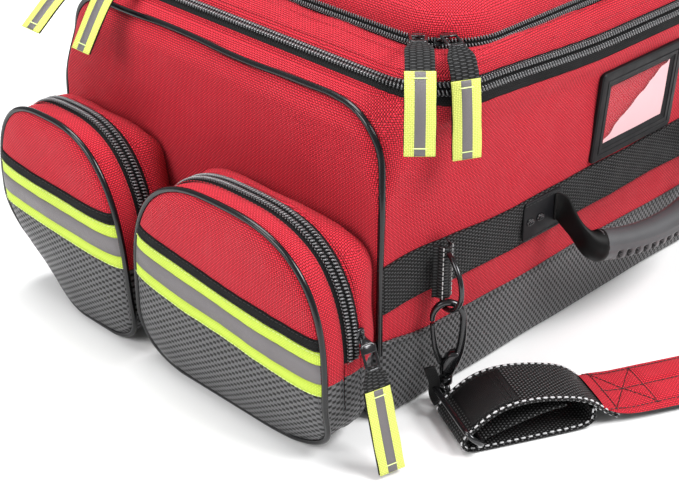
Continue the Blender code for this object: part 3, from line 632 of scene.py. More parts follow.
def top_cover():
    """Domed cover of the top pocket. An inward offset shrinks the whole ring."""
    levels = [(0.0025, 0.2672), (0.0030, 0.2700), (0.0015, 0.2780), (-0.0030, 0.2860),
              (-0.0100, 0.2930), (-0.0220, 0.2990), (-0.0400, 0.3040), (-0.0650, 0.3075),
              (-0.1000, 0.3098), (-0.1400, 0.3108), (-0.1700, 0.3110)]
    pts, outs = ring(TOP_HALF_X, TOP_HALF_Y, TOP_CORNER)
    rows = []
    for offset, height in levels:
        outline = pts * (1 + offset / TOP_HALF_Y) if offset < 0 else pts + outs * offset
        rows.append(level(outline, height))
    rows = np.array(rows)
    rows[:4] = drawn_in(rows[:4], outs)
    free = np.concatenate([[0.0, 0.2], np.ones(len(rows) - 2)])[:, None]
    rows[:, :, 2] += (wobble(rows, 14.0, 0.0030, 2.0) + wobble(rows, 40.0, 0.0008, 9.0)) * free \
        - 0.002 * free
    inner = rows[::-1] * (0.985, 0.985, 1.0) - (0.0, 0.0, 0.0025)
    inner[-1, :, 2] += 0.0025
    closing = (SPECK, SPECK, 1.0)
    m = Mesh()
    m.grid(np.concatenate([rows, rows[-1:] * closing]), closed=True, flat=True)
    m.grid(np.concatenate([inner[:1] * closing, inner, rows[:1]]), closed=True, slot=1, flat=True)
    m.make("top_pocket_dome", "top_pocket", "red_fabric", RED, LINING,
           replaces=("top_pocket_cover",))


# ---- zips ------------------------------------------------------------------------------
def tooth_row(mesh, line, normals, out, pitch, half, wide, high):
    """Coil seen from outside: short bars across the zip, on a line."""
    length = distances(line)
    at = (np.arange(int(length[-1] / pitch)) + 0.5) * pitch
    spots, n = read_at(at, length, line), unit(read_at(at, length, normals))
    t = unit(read_at(at, length, directions(line)))
    across = unit(read_at(at, length, out))
    lean = unit(across + 0.22 * t)
    mesh.bars(spots, lean, t, n, half, wide, high, 6)


def zip_pair(name, rails, normals, lower_body, upper_body, nodes, pitch, half, size):
    """Both halves of a zip, each with its tape, teeth and seam. rails: inner edge, inner
    coil, outer coil and outer edge; half: half a tooth's length."""
    inner, coil_in, coil_out, outer = rails
    middle = (coil_in + coil_out) / 2
    across = unit(coil_out - coil_in)
    lift = unit(normals)
    for body, edge, coil, sign, label in ((upper_body, inner, coil_in, -1, "upper"),
                                          (lower_body, outer, coil_out, 1, "lower")):
        tape = Mesh()
        seam = middle + across * sign * 0.0001
        top = np.array([seam, seam * 0.4 + coil * 0.6, coil * 0.4 + edge * 0.6, edge])
        tape.grid(np.concatenate([top, top[::-1] - lift[None] * 0.0006]), flip=sign < 0)
        tape.make(name + "_tape_" + label, body, "zip", TAPE,
                  replaces=(nodes[label],) if label in nodes else ())
        teeth = Mesh()
        tooth_row(teeth, coil + lift * 0.0007 * size, lift, across, pitch, half,
                  0.00050 * size, 0.00075 * size)
        seam = coil + lift * 0.0006 + across * sign * (half + 0.0003)
        stitches(teeth, seam, lift, pitch=pitch, fill=0.5, radius=0.00030)
        teeth.make(name + "_coil_" + label, body, "zip", COIL)


def main_zip():
    """Zip along the ends and the near side. Its upper half opens with the lid."""
    rails = [zip_rail(*sizes)[ZIPPED] for sizes in (
        (-0.0080, 0.2480, 0.0002, 0.2462), (-0.0026, 0.2487, 0.0022, 0.2436),
        (0.0026, 0.2485, 0.0043, 0.2382), (0.0102, 0.2450, 0.0050, 0.2280))]
    _, outs = ring(ZIP_HALF_X, ZIP_HALF_Y, ZIP_CORNER)
    w = long_side_weight(outs)
    normals = np.column_stack([outs * (0.15 + 1.35 * w)[:, None], 1.0 - 0.4 * w])[ZIPPED]
    zip_pair("main_zip", rails, normals, "root", "lid",
             {"upper": "main_zip_upper", "lower": "main_zip_lower"}, pitch=0.0028, half=0.0019,
             size=1.4)


def top_zip():
    """Zip round the top pocket, over the same sides."""
    rails = [top_rail(offset, height)[ZIPPED] for offset, height in (
        (0.0012, 0.2694), (0.0028, 0.2675), (0.0052, 0.2640), (0.0066, 0.2618))]
    _, outs = ring(TOP_HALF_X, TOP_HALF_Y, TOP_CORNER)
    normals = level(outs, 0.8)[ZIPPED]
    zip_pair("top_zip", rails, normals, "lid", "top_pocket", {"lower": "top_zip"},
             pitch=0.0023, half=0.0014, size=1.1)


# ---- piping ----------------------------------------------------------------------------
def arc_points(cy, cz, radius, start, end, steps):
    """Points (y, z) of an arc between two angles in degrees."""
    turns = np.radians(np.linspace(start, end, steps))
    return [(cy + radius * math.cos(t), cz + radius * math.sin(t)) for t in turns]


def laid_on_body(path, side):
    """Slide points inwards, down and towards y = 0.13 until they lie on the bag's cloth."""
    count = BODY_ROWS.shape[1]
    faces = [(r * count + c, r * count + (c + 1) % count, (r + 1) * count + (c + 1) % count,
              (r + 1) * count + c) for r in range(len(BODY_ROWS) - 1) for c in range(count)]
    skin = BVHTree.FromPolygons(BODY_ROWS.reshape(-1, 3).tolist(), faces)
    laid = []
    for point in path:
        sideways = 0.65 * np.clip((0.13 - point[1]) / 0.10, -1.0, 1.0)
        spot = skin.ray_cast(Vector(point), Vector((-side * 0.69, sideways, -0.46)), 0.06)[0]
        laid.append(spot or skin.find_nearest(Vector(point))[0])
    return np.array(laid) + (side * 0.0008, 0.0, 0.0006)


def end_piping(side, tag):
    """Cord up one corner of an end, over under the lid, and down the other."""
    reach, top, corner, foot = SIDE_Y + 0.0008, 0.2432, 0.040, 0.058
    ahead, shoulder = reach - corner, top - corner
    line = [(-reach, z) for z in np.linspace(foot, shoulder, 20)]
    line += arc_points(-ahead, shoulder, corner, 180, 90, 14)[1:]
    line += [(y, top + 0.0010 * math.sin(y * 40)) for y in np.linspace(-ahead, ahead, 40)[1:-1]]
    line += arc_points(ahead, shoulder, corner, 90, 0, 14)
    line += [(reach, z) for z in np.linspace(shoulder, foot, 20)[1:]]
    path = resample(np.array([(side * (END_X + 0.0006), y, z) for y, z in line]), 0.004)
    path[:, 0] += side * wobble(path, 25.0, 0.0010, 4.0)
    path = smooth_path(laid_on_body(path, side), 1)
    m = Mesh()
    rod(m, path, 0.0025, normals=(side, 0.0, 0.0))
    m.make("end_cord_" + tag, "root", "piping", PVC, replaces=("end_piping_" + tag,))


# ---- foot belt -------------------------------------------------------------------------
def foot_belt():
    """Embossed belt round the foot of the walls, turned under at the base."""
    rows = []
    for z, offset in ((0.0008, -0.0120), (0.0008, -0.0030), (0.0030, 0.0006), (0.0080, 0.0022),
                      (0.0200, 0.0027), (0.0400, 0.0026), (0.0575, 0.0022), (0.0590, 0.0026),
                      (0.0600, 0.0020), (0.0600, -0.0002)):
        pts, outs = ring(END_X + offset, SIDE_Y + offset, 0.008 + max(0.0, offset))
        height = np.full(len(pts), z)
        if z > 0.05:
            height = height + wobble(level(pts, z), 12.0, 0.0022, 6.0)
            corner = np.exp(-((np.abs(pts[:, 0]) - END_X) / 0.030) ** 2) \
                * np.exp(-((np.abs(pts[:, 1]) - SIDE_Y) / 0.035) ** 2)
            height = height + 0.008 * corner
        rows.append(level(pts, height))
    rows = np.array(rows)
    outs = level(outs, 0.0)
    push = wobble(rows, 14.0, 0.0012, 8.0)
    push[:2] = 0.0
    rows += outs[None] * push[:, :, None]
    m = Mesh()
    m.grid(rows, closed=True, flat=True)
    m.make("foot_belt", "root", "boot", BELT_SCALES, replaces=("base_boot",))
    t = Mesh()
    seam = resample(rows[7] + outs * 0.0003, 0.004, closed=True)
    normals = unit(np.cross(directions(seam, closed=True), UP))
    stitches(t, seam - UP * 0.0016, normals, radius=0.0003)
    t.make("foot_belt_stitching", "root", "boot", THREAD_BLACK)


# ---- end pockets -----------------------------------------------------------------------
POCKET_TOP_Z, POCKET_FOOT_Z = 0.1670, 0.0020
BELLY_Z = 0.060                  # a pocket is widest here
ARCH, SQUARE = 2.8, 4.2          # powers of the curves above and below it
PANEL_BACK_X = 0.3335            # inside of a pocket's padded front
ZIP_START_Z = 0.074              # lower ends of a pocket's zip
SCALES_TOP_Z = 0.067             # embossed cloth below, red cloth above
SPLIT_Z = 0.034                  # lower ends of the door's own strip
OUTLINE_POINTS = 170


def pocket_outline(half, inset=0.0, top=POCKET_TOP_Z, arch=ARCH):
    """Points of a pocket's outline as (across, height) with outward directions, from the
    middle of its foot round the near side. Its top is a flat arch, its foot squarer."""
    half, top, foot = half - inset, top - inset, POCKET_FOOT_Z + inset * 0.5
    turns = -np.linspace(0.0, 2 * math.pi, 2001)[:-1] - math.pi / 2
    c, s = np.cos(turns), np.sin(turns)
    power = np.where(s > 0, 2 / arch, 2 / SQUARE)
    across = half * np.sign(c) * np.abs(c) ** power
    tall = np.where(s > 0, top - BELLY_Z, BELLY_Z - foot)
    line = np.column_stack([across, BELLY_Z + tall * np.sign(s) * np.abs(s) ** power])
    length = np.linalg.norm(np.diff(line, axis=0), axis=1).sum()
    pts = resample(line, length / OUTLINE_POINTS, closed=True)
    t = directions(pts, closed=True)
    return pts[:OUTLINE_POINTS], np.column_stack([-t[:, 1], t[:, 0]])[:OUTLINE_POINTS]


def lean(tag, z):
    """The far pocket's sides slant a little towards its outer edge with height."""
    return 0.11 * (np.asarray(z, float) - 0.085) if tag.startswith("far") else 0.0


def tuck(tag, y, z):
    """How far a pocket's front is drawn back at a point: the far one's low outer corner."""
    y, z = np.asarray(y, float), np.asarray(z, float)
    if tag.startswith("far"):
        return 0.022 * ease(y, 0.085, 0.178) * (1 - ease(z, 0.0, 0.085)) \
            + 0.004 * (1 - ease(z, 0.0, 0.05))
    return 0.006 * (1 - ease(z, 0.0, 0.05)) \
        + 0.004 * ease(-y, 0.12, 0.18) * (1 - ease(z, 0.0, 0.06))


def pocket_points(tag, side, middle, pts, depth):
    """World points of outline points at a distance from the bag's middle."""
    y = middle + pts[:, 0] + lean(tag, pts[:, 1])
    share = np.clip((np.asarray(depth) - 0.2765) / 0.0615, 0.0, 1.2)
    return np.column_stack([side * (depth - share * tuck(tag, y, pts[:, 1])), y, pts[:, 1]])


def gusset_rows(tag, side, middle, half, stations):
    """Lines round a pocket's side, from (depth, inset, drop of the top, bulge, arch)."""
    rows = []
    for depth, inset, drop, bulge, *arch in stations:
        pts, outs = pocket_outline(half, inset, POCKET_TOP_Z - drop, *arch)
        rows.append(pocket_points(tag, side, middle, pts + outs * bulge, depth))
    return np.array(rows)


def lining_of(rows, middle):
    """The same lines from inside, drawn in towards the pocket's middle."""
    inner = rows[::-1].copy()
    inner[:, :, 1] = middle + (inner[:, :, 1] - middle) * 0.975
    inner[:, :, 2] = 0.085 + (inner[:, :, 2] - 0.085) * 0.975
    return inner


def round_the_foot(heights, above):
    """Stations of an outline that run round its foot, below the ones at or over a height."""
    over = np.flatnonzero(heights >= above)
    return list(range(over[-1], len(heights))) + list(range(0, over[0] + 1))


def gusset(tag, side, middle, half):
    """Side of the pocket: back part on the bag, front strip on the door."""
    def face_slot(point):
        return 1 if point[2] < SCALES_TOP_Z else 0

    pocket = (tag, side, middle, half)
    inward = side < 0
    back = gusset_rows(*pocket, [
        (0.2755, 0.015, 0.004, 0.0, 9.0), (0.2780, 0.0140, 0.003, 0.0005, 8.0),
        (0.2830, 0.0105, 0.0, 0.0010, 5.6), (0.2890, 0.0062, 0.0, 0.0010, 4.2),
        (0.2950, 0.0028, 0.0, 0.0008, 3.3), (0.3010, 0.0006, 0.0, 0.0004),
        (0.3022, 0.0006, 0.0, -0.0012)])
    back[:, :, 2] += wobble(back, 30.0, 0.0016, 11.0) * ease(back[:, :, 2], 0.05, 0.12)
    back[:, :, 1] += wobble(back, 26.0, 0.0022, 15.0) * ease(back[:, :, 2], 0.01, 0.05)
    back[:, :, 2] = np.maximum(back[:, :, 2], 0.0012)
    front = gusset_rows(*pocket, [
        (0.3172, 0.0008, 0.0, -0.0012), (0.3184, 0.0004, 0.0, 0.0002),
        (0.3230, 0.0, 0.0, 0.0009), (0.3290, 0.0, 0.0, 0.0009),
        (0.3345, 0.0, 0.0, 0.0003), (0.3380, 0.0, 0.0, -0.0004)])
    front[:, :, 1] += wobble(front, 30.0, 0.0012, 19.0) * ease(front[:, :, 2], 0.01, 0.05)
    heights = pocket_outline(half)[0][:, 1]
    under_zip = gusset_rows(*pocket, [
        (0.3022, 0.0006, 0.0, 0.0), (0.3060, 0.0002, 0.0, 0.0004), (0.3120, 0.0, 0.0, 0.0006),
        (0.3172, 0.0004, 0.0, 0.0)])[:, round_the_foot(heights, ZIP_START_Z + 0.001)]
    under_door = gusset_rows(*pocket, [
        (0.3172, 0.0004, 0.0, 0.0), (0.3290, 0.0, 0.0, 0.0004),
        (0.3380, 0.0, 0.0, -0.0006)])[:, round_the_foot(heights, SPLIT_Z)]
    m = Mesh()
    m.grid(back, closed=True, slot=face_slot, flat=True, flip=inward)
    m.grid(lining_of(back, middle), closed=True, slot=2, flat=True, flip=inward)
    m.grid(under_zip, slot=face_slot, flat=True, flip=inward)
    m.grid(under_door, slot=1, flat=True, flip=inward)
    m.make("pocket_gusset_" + tag, "root", "red_fabric", RED, SCALES, LINING,
           replaces=("pocket_back_" + tag,))
    strip = front[:, heights >= SPLIT_Z]
    d = Mesh()
    d.grid(strip, slot=face_slot, flat=True, flip=inward)
    d.grid(lining_of(strip, middle), slot=2, flat=True, flip=inward)
    d.make("pocket_strip_" + tag, "door_" + tag, "red_fabric", RED, SCALES, LINING)
    for body, depth, inset, group in (("root", 0.2994, -0.0008, "back"),
                                      ("door_" + tag, 0.3200, -0.0012, "front")):
        line, outs = pocket_outline(half, inset)
        shown = line[:, 1] > 0.062
        world = pocket_points(tag, side, middle, line[shown], depth)
        t = Mesh()
        stitches(t, world, np.column_stack([np.zeros(len(world)), outs[shown]]), pitch=0.0038,
                 radius=0.0003)
        t.make("pocket_%s_stitching_%s" % (group, tag), body, "red_fabric", THREAD_RED)


def pocket_zip(tag, side, middle, half):
    """Zip over one end pocket, down both of its flanks."""
    pts, outs = pocket_outline(half)
    pts, outs = pts[pts[:, 1] > ZIP_START_Z], outs[pts[:, 1] > ZIP_START_Z]
    rails = [pocket_points(tag, side, middle, pts + outs * bulge, depth) for depth, bulge in (
        (0.3012, -0.0010), (0.3076, 0.0008), (0.3134, 0.0008), (0.3190, -0.0010))]
    normals = np.column_stack([np.zeros(len(outs)), outs])
    if side > 0:
        rails = [r[::-1] for r in rails]
        normals = normals[::-1]
    zip_pair("pocket_zip_" + tag, rails, normals, "door_" + tag, "root",
             {"upper": "pocket_zip_" + tag}, pitch=0.0026, half=0.0019, size=1.4)


def half_width(half, z):
    """Half width of a pocket's front at a height."""
    z = np.asarray(z, float)
    up = np.clip((z - BELLY_Z) / (POCKET_TOP_Z - BELLY_Z), 0.0, 1.0)
    down = np.clip((BELLY_Z - z) / (BELLY_Z - POCKET_FOOT_Z), 0.0, 1.0)
    return half * np.where(z > BELLY_Z, (1 - up ** ARCH) ** (1 / ARCH),
                           (1 - down ** SQUARE) ** (1 / SQUARE))


def front_point(tag, side, middle, half, share, z, lift=0.0):
    """Point on the padded front: share runs from -1 at one edge to 1 at the other."""
    share, z = np.broadcast_arrays(np.asarray(share, float), np.asarray(z, float))
    wide = half_width(half, z)
    y = middle + share * wide + lean(tag, z)
    centre, reach = (POCKET_TOP_Z + POCKET_FOOT_Z) / 2, (POCKET_TOP_Z - POCKET_FOOT_Z) / 2
    rise = np.clip(1 - np.abs(share) ** 5, 0.0, 1.0) ** 0.5 \
        * np.clip(1 - np.abs((z - centre) / reach) ** 6, 0.0, 1.0) ** 0.5
    spots = np.stack([np.zeros_like(y), y * side + side, z], axis=-1)
    soft = wobble(spots, 22.0, 0.0016, 21.0 + side) + wobble(spots, 70.0, 0.0004, 27.0)
    fold = 0.0022 * np.exp(-((z - 0.038 - 0.35 * (y - middle + half)) / 0.010) ** 2) \
        * ease(-share, 0.1, 0.9) if tag.startswith("near") else 0.0
    depth = 0.3372 + 0.0078 * rise + (soft - fold) * rise + lift
    x = side * (depth - tuck(tag, y, z))
    return np.stack([x, y, np.broadcast_to(z, y.shape)], axis=-1)


def band_edges(tag, share):
    """Heights of the reflective band's five edges along a pocket's front."""
    tilt = 0.0085 if tag.startswith("near") else 0.0035
    drop = tilt * np.asarray(share, float)
    base = 0.0680 if tag.startswith("near") else 0.0745
    return [base + drop + step for step in (0.0, 0.0100, 0.0250, 0.0350, 0.0440)]


# Shares of a soft piece's width from edge to edge, closer together near its edges.
SHARES = np.concatenate([np.linspace(-1, -0.9, 5)[:-1], np.linspace(-0.9, 0.9, 33),
                         np.linspace(0.9, 1, 5)[1:]])


def pocket_front(tag, side, middle, half):
    """Padded front of a pocket, with the band sewn over it and its piping."""
    share = SHARES
    heights = np.concatenate([
        BELLY_Z - (BELLY_Z - POCKET_FOOT_Z) * np.sin(np.linspace(math.pi / 2, 0, 16)),
        BELLY_Z + (POCKET_TOP_Z - BELLY_Z) * np.sin(np.linspace(0, math.pi / 2, 30))[1:]])
    heights[0] += 0.0001
    heights[-1] -= 0.0001
    edges = band_edges(tag, share)
    rows = np.array([front_point(tag, side, middle, half, share, z) for z in heights])

    def front_slot(point):
        s = (point[1] - middle - lean(tag, point[2])) / float(half_width(half, point[2]))
        return 1 if point[2] < float(band_edges(tag, s)[0]) + 0.002 else 0

    m = Mesh()
    m.grid(rows, slot=front_slot, flat=True, flip=side < 0)
    back = rows[:, ::-1].copy()
    behind = np.clip(PANEL_BACK_X - np.abs(back[:, :, 0]) + 0.002, 0.0, 0.03)
    back[:, :, 0] = side * (PANEL_BACK_X - behind)
    m.grid(back, slot=2, flat=True, flip=side < 0)
    door = "door_" + tag
    panel = m.make("pocket_panel_" + tag, None, "red_fabric", RED, SCALES, LINING,
                   replaces=("pocket_front_" + tag,))
    bend_from, bend_to = (side * 0.333, middle, 0.003), (side * 0.333, middle, 0.022)
    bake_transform(panel)
    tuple(bend_from)
    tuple(bend_to)

    b = Mesh()
    layers = ((0, 1, 0.0007, 0), (1, 2, 0.0010, 1), (2, 3, 0.0007, 0), (3, 4, 0.0009, 2))
    for low, high, lift, slot in layers:
        steps = [edges[low] + (edges[high] - edges[low]) * f for f in (0.0, 0.02, 0.5, 0.98, 1.0)]
        lifts = (0.0, lift, lift, lift, 0.0)
        rows = np.array([front_point(tag, side, middle, half, share * 0.994, z, up)
                         for z, up in zip(steps, lifts)])
        b.grid(rows, slot=slot, flat=True, flip=side < 0)
    b.make("reflective_band_" + tag, door, "reflective", LIME, SILVER, TAPE,
           replaces=("pocket_band_" + tag,))
    t = Mesh()
    for index, shift, slot in ((0, -0.0012, 0), (0, 0.0010, 1), (3, -0.0010, 1), (3, 0.0014, 0),
                               (4, -0.0012, 0)):
        line = front_point(tag, side, middle, half, share * 0.985, edges[index] + shift,
                           0.0012 if shift > 0 or index else 0.0005)
        stitches(t, line, (side, 0.0, 0.0), pitch=0.0038, radius=0.00028, slot=slot)
    t.make("band_stitching_" + tag, door, "reflective", THREAD_BLACK, THREAD_LIME)

    c = Mesh()
    pts, outs = pocket_outline(half)
    path = pocket_points(tag, side, middle, pts + outs * 0.0012, 0.3378)
    path = resample(path, 0.0035, closed=True)
    path[:, 2] = np.maximum(path[:, 2], 0.0024)
    rod(c, path, 0.0023, normals=(side, 0.0, 0.0), closed=True)
    cord = c.make("pocket_cord_" + tag, None, "piping", PVC,
                  replaces=("pocket_piping_" + tag,) if side < 0 else ())
    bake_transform(cord)
    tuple(bend_from)
    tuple(bend_to)


# ---- shared placing helpers ------------------------------------------------------------
class Place:
    """A local frame: calling it turns local points into world points."""

    def __init__(self, origin, x, y, z):
        self.origin = np.asarray(origin, float)
        self.x, self.y, self.z = (unit(axis) for axis in (x, y, z))

    def __call__(self, points):
        p = np.asarray(points, float)
        return self.origin + p[..., :1] * self.x + p[..., 1:2] * self.y + p[..., 2:3] * self.z

    def at(self, origin, x, y, z):
        """A frame placed in this one, with its axes given in this one."""
        def turned(v):
            return v[0] * self.x + v[1] * self.y + v[2] * self.z
        return Place(self(np.array(origin)), turned(x), turned(y), turned(z))


def yawed(origin, degrees):
    """A level frame, turned about the vertical."""
    a = math.radians(degrees)
    return Place(origin, (math.cos(a), math.sin(a), 0.0), (-math.sin(a), math.cos(a), 0.0), UP)


def rounded(half_u, half_v, radius, steps=6):
    """Closed outline of a rectangle with round corners."""
    pts = []
    for su, sv, start in ((1, 1, 0), (-1, 1, 90), (-1, -1, 180), (1, -1, 270)):
        for k in range(steps + 1):
            a = math.radians(start + 90.0 * k / steps)
            pts.append((su * (half_u - radius) + radius * math.cos(a),
                        sv * (half_v - radius) + radius * math.sin(a)))
    return np.array(pts)


def lift_outline(place, steps, heights_and_insets, half_u, half_v, radius):
    """Rings of one rounded outline at several heights and insets."""
    rings = []
    for height, inset in heights_and_insets:
        pts = rounded(half_u - inset, half_v - inset, max(radius - inset, 0.0003), steps)
        rings.append(place(level(pts, height)))
    return np.array(rings)


def plate(mesh, place, half_u, half_v, thick, radius, bevel):
    """Flat plate with rounded corners and softened edges, from its place upwards."""
    rings = lift_outline(place, 6, ((0.0, bevel), (bevel, 0.0), (thick - bevel, 0.0),
                                    (thick, bevel)), half_u, half_v, radius)
    return mesh.grid(rings, closed=True, cap=True)


def path_frames(points, normals, closed=False):
    """Tangents of a path, its normals squared to them, and the directions across."""
    t = directions(points, closed)
    n = np.broadcast_to(np.asarray(normals, float), points.shape)
    n = unit(n - t * np.sum(n * t, axis=1, keepdims=True))
    return t, n, np.cross(t, n)


def band(mesh, points, normals, widths, thick, slot=0):
    """Flat band with softened edges; its width may change along its middle line."""
    _, n, b = path_frames(points, normals)
    half = (np.broadcast_to(widths, len(points)) / 2)[:, None]
    e = thick / 2
    profile = [(-1, 0.0, -e * 0.4), (-1, 0.0, e * 0.4), (-1, e, e), (0, 0.0, e), (1, e, e),
               (1, 0.0, e * 0.4), (1, 0.0, -e * 0.4), (1, e, -e), (0, 0.0, -e), (-1, e, -e)]
    rows = np.array([points + b * (side * (half - inset)) + n * out
                     for side, inset, out in profile])
    return mesh.grid(np.swapaxes(rows, 0, 1), closed=True, slot=slot, cap=True, flip=True)


def tube(mesh, points, radii, normals, sides=14):
    """Round bar whose radius changes along it."""
    points = np.asarray(points, float)
    _, n, b = path_frames(points, normals)
    radii = np.broadcast_to(radii, len(points))
    turns = 2 * math.pi * np.arange(sides) / sides
    rows = np.array([c + r * (np.outer(np.cos(turns), bb) + np.outer(np.sin(turns), nn))
                     for c, r, nn, bb in zip(points, radii, n, b)])
    return mesh.grid(rows, closed=True, cap=True, flip=True)


def loft(mesh, sections, sides=24):
    """Rings of superellipses: (centre, first axis, second axis, half sizes, power)."""
    turns = 2 * math.pi * np.arange(sides) / sides
    rows = []
    for centre, a, b, half_a, half_b, power in sections:
        c, s = np.cos(turns), np.sin(turns)
        u = half_a * np.sign(c) * np.abs(c) ** (2 / power)
        v = half_b * np.sign(s) * np.abs(s) ** (2 / power)
        rows.append(np.asarray(centre) + np.outer(u, a) + np.outer(v, b))
    return mesh.grid(np.array(rows), closed=True, cap=True)


# ---- zip pulls -------------------------------------------------------------------------
NECK_START = 0.0215              # along a pull, where the webbing leaves its metal plate


def slider(name, body, place):
    """Zip slider: place's x runs along the zip and its z away from the bag."""
    m = Mesh()
    rings = []
    for height, grow in ((-0.0008, 0.80), (0.0000, 1.0), (0.0014, 1.0), (0.0022, 0.85)):
        outline = rounded(0.0062 * grow, 0.0046 * grow, 0.0026 * grow)
        waist = 1 - 0.18 * np.clip(outline[:, 0] / 0.0062, 0.0, 1.0)
        outline[:, 1] *= waist
        rings.append(place(level(outline, height)))
    m.grid(np.array(rings), closed=True, cap=True)
    arch = smooth_path([(-0.0042, 0, 0.0016), (-0.0038, 0, 0.0040), (0.0, 0, 0.0050),
                        (0.0038, 0, 0.0040), (0.0042, 0, 0.0016)])
    tube(m, place(arch), 0.0010, place.y, 10)
    m.make(name, body, "hardware", GUNMETAL)


class Ribbon:
    """A pull's middle line with its outward normals, cut up by distance along it."""

    def __init__(self, points, normals):
        self.points, self.normals, self.length = points, normals, distances(points)

    def part(self, start, end, lift, step=0.002):
        at = np.linspace(start, end, max(3, int((end - start) / step)))
        normals = unit(read_at(at, self.length, self.normals))
        return read_at(at, self.length, self.points) + normals * lift, normals, at


def pull_tab(name, ribbon, lime):
    """Black webbing neck and the reflective tab on its end, lime metres long."""
    total = ribbon.length[-1]
    split = total - lime
    m = Mesh()
    neck, neck_n, at = ribbon.part(NECK_START, split + 0.004, 0.0)
    widths = 0.0105 + 0.0095 * ease(at, NECK_START, NECK_START + min(0.013, split * 0.4))
    band(m, neck, neck_n, widths, 0.0022, slot=0)
    back, back_n, _ = ribbon.part(split, total - 0.0006, -0.0004)
    band(m, back, back_n, 0.0214, 0.0012, slot=4)
    tab, tab_n, _ = ribbon.part(split, total, 0.0008)
    band(m, tab, tab_n, 0.0206 + wobble(tab, 60.0, 0.0009, 3.0), 0.0012, slot=1)
    strip, strip_n, _ = ribbon.part(split + 0.0003, total - 0.0003, 0.0015)
    band(m, strip, strip_n, 0.0074, 0.0003, slot=2)
    for spot in (split + 0.0050, total - 0.0055):
        middle, normals, _ = ribbon.part(spot, spot + 0.0001, 0.0018, 0.1)
        across = unit(np.cross(unit(ribbon.points[-1] - ribbon.points[-2]), normals[0]))
        bar = np.array([middle[0] + across * x for x in np.linspace(-0.0048, 0.0048, 9)])
        rod(m, bar, 0.00040, normals=normals[0], sides=6, slot=3)
    m.make(name + "_tab", name, "reflective", RIBBED, PULL_LIME, SILVER, THREAD_LIME, TAPE,
           replaces=(name,))


def pull_plate(name, ribbon, side):
    """Metal plate that hooks into the slider, and the loop that holds the webbing."""
    reach, normals, at = ribbon.part(-0.0005, 0.0270, 0.0006, 0.0006)
    loop = np.array([read_at(0.0152 + u, at, reach) + side * v
                     for u, v in rounded(0.0088, 0.0050, 0.0022)])
    m = Mesh()
    rod(m, resample(loop, 0.001, closed=True), 0.00115, normals=normals[0], closed=True,
        sides=10, squash=0.8)
    solid, solid_n, at = ribbon.part(-0.0010, 0.0125, 0.0006, 0.0006)
    band(m, solid, solid_n, 0.0048 + 0.0056 * ease(at, 0.0, 0.009), 0.0014)
    m.make(name + "_plate", name, "hardware", GUNMETAL)


def pull(name, holder, origin, yaw, path, lime, zip_axis, outward):
    """Tab, plate and slider of one zip pull, on a path of (out, up) points."""
    a = math.radians(yaw)
    along = np.array((math.cos(a), math.sin(a), 0.0))
    line = resample(smooth_path(np.array(path), 2), 0.0015)
    points = np.asarray(origin) + line[:, :1] * along + line[:, 1:] * UP
    side = np.cross(along, UP)
    normals = np.cross(side, directions(points))
    if normals[0, 2] + np.dot(normals[-1], along) < 0:
        normals = -normals
    ribbon = Ribbon(points, normals)
    pull_tab(name, ribbon, lime)
    pull_plate(name, ribbon, side)
    z = unit(outward)
    x = unit(np.asarray(zip_axis) - z * np.dot(zip_axis, z))
    slider(name + "_slider", holder, Place(np.asarray(origin) - z * 0.0028, x, np.cross(z, x), z))


def all_pulls():
    """The eight zip pulls. Each path is a side view of (out, up) points."""
    over_corner = [(0.000, 0.004), (0.018, 0.008), (0.040, 0.006), (0.056, -0.006),
                   (0.0655, -0.026), (0.0700, -0.053)]
    over_side = [(0.000, 0.004), (0.010, 0.007), (0.020, 0.006), (0.032, 0.001),
                 (0.0400, -0.011), (0.0445, -0.036), (0.0472, -0.067)]
    lifted = [(0.000, 0.002), (0.016, 0.007), (0.034, 0.004), (0.052, -0.006), (0.078, -0.027)]
    hanging = [(0.000, 0.002), (0.014, 0.006), (0.030, 0.000), (0.040, -0.012), (0.058, -0.040)]
    leaning = [(0.000, 0.0), (0.008, -0.004), (0.016, -0.022), (0.028, -0.058),
               (0.039, -0.088)]
    straight = [(0.000, 0.0), (0.0025, -0.004), (0.0035, -0.014), (0.0040, -0.086)]
    pull("top_pull_a", "lid", (-0.2076, -0.1439, 0.2680), 225.0, over_corner, 0.056,
         (-0.5, 0.8, 0.0), (-0.8, -0.5, 0.9))
    pull("top_pull_b", "lid", (-0.1959, -0.1571, 0.2680), 244.0, over_side, 0.055,
         (0.8, -0.6, 0.0), (-0.5, -0.8, 0.9))
    pull("main_pull_a", "root", (-0.247, 0.141, 0.2535), 180.0, lifted, 0.054,
         (0.0, 1.0, 0.0), (-0.2, 0.0, 1.0))
    pull("main_pull_b", "main_pull_b", (-0.247, 0.107, 0.2535), 180.0, hanging, 0.050,
         (0.0, 1.0, 0.0), (-0.2, 0.0, 1.0))
    for tag, sign, middle, half in POCKETS:
        near = tag.startswith("near")
        flat = half - 0.0030 if near else half - 0.0020
        origin = (sign * 0.3030, middle - flat - 0.0045, 0.092)
        pull("pocket_pull_" + tag, "root", origin, -90.0 + (12.0 * sign if near else 0.0),
             leaning if near else straight, 0.060, (0.0, 0.0, 1.0), (0.0, -1.0, 0.0))


# ---- webbing round the long walls, keepers, anchor plates ------------------------------
BAND_MIDDLE_Z = 0.110


def wall_lines(heights, side):
    """The body's outer line along one long wall at each height, with its outward axes."""
    start = N_END if side < 0 else 2 * N_END + 2 * N_CORNER + N_SIDE
    leg = BODY_ROWS[:, start:start + 2 * N_CORNER + N_SIDE]
    outs = wall_outs()[start:start + 2 * N_CORNER + N_SIDE]
    keep = np.abs(leg[6, :, 0]) < 0.2722
    leg, outs = leg[:, keep], outs[keep]
    lines = [np.array([[np.interp(z, col[:, 2], col[:, k]) for k in (0, 1)] + [z]
                       for col in np.swapaxes(leg, 0, 1)]) for z in heights]
    return np.array(lines), outs


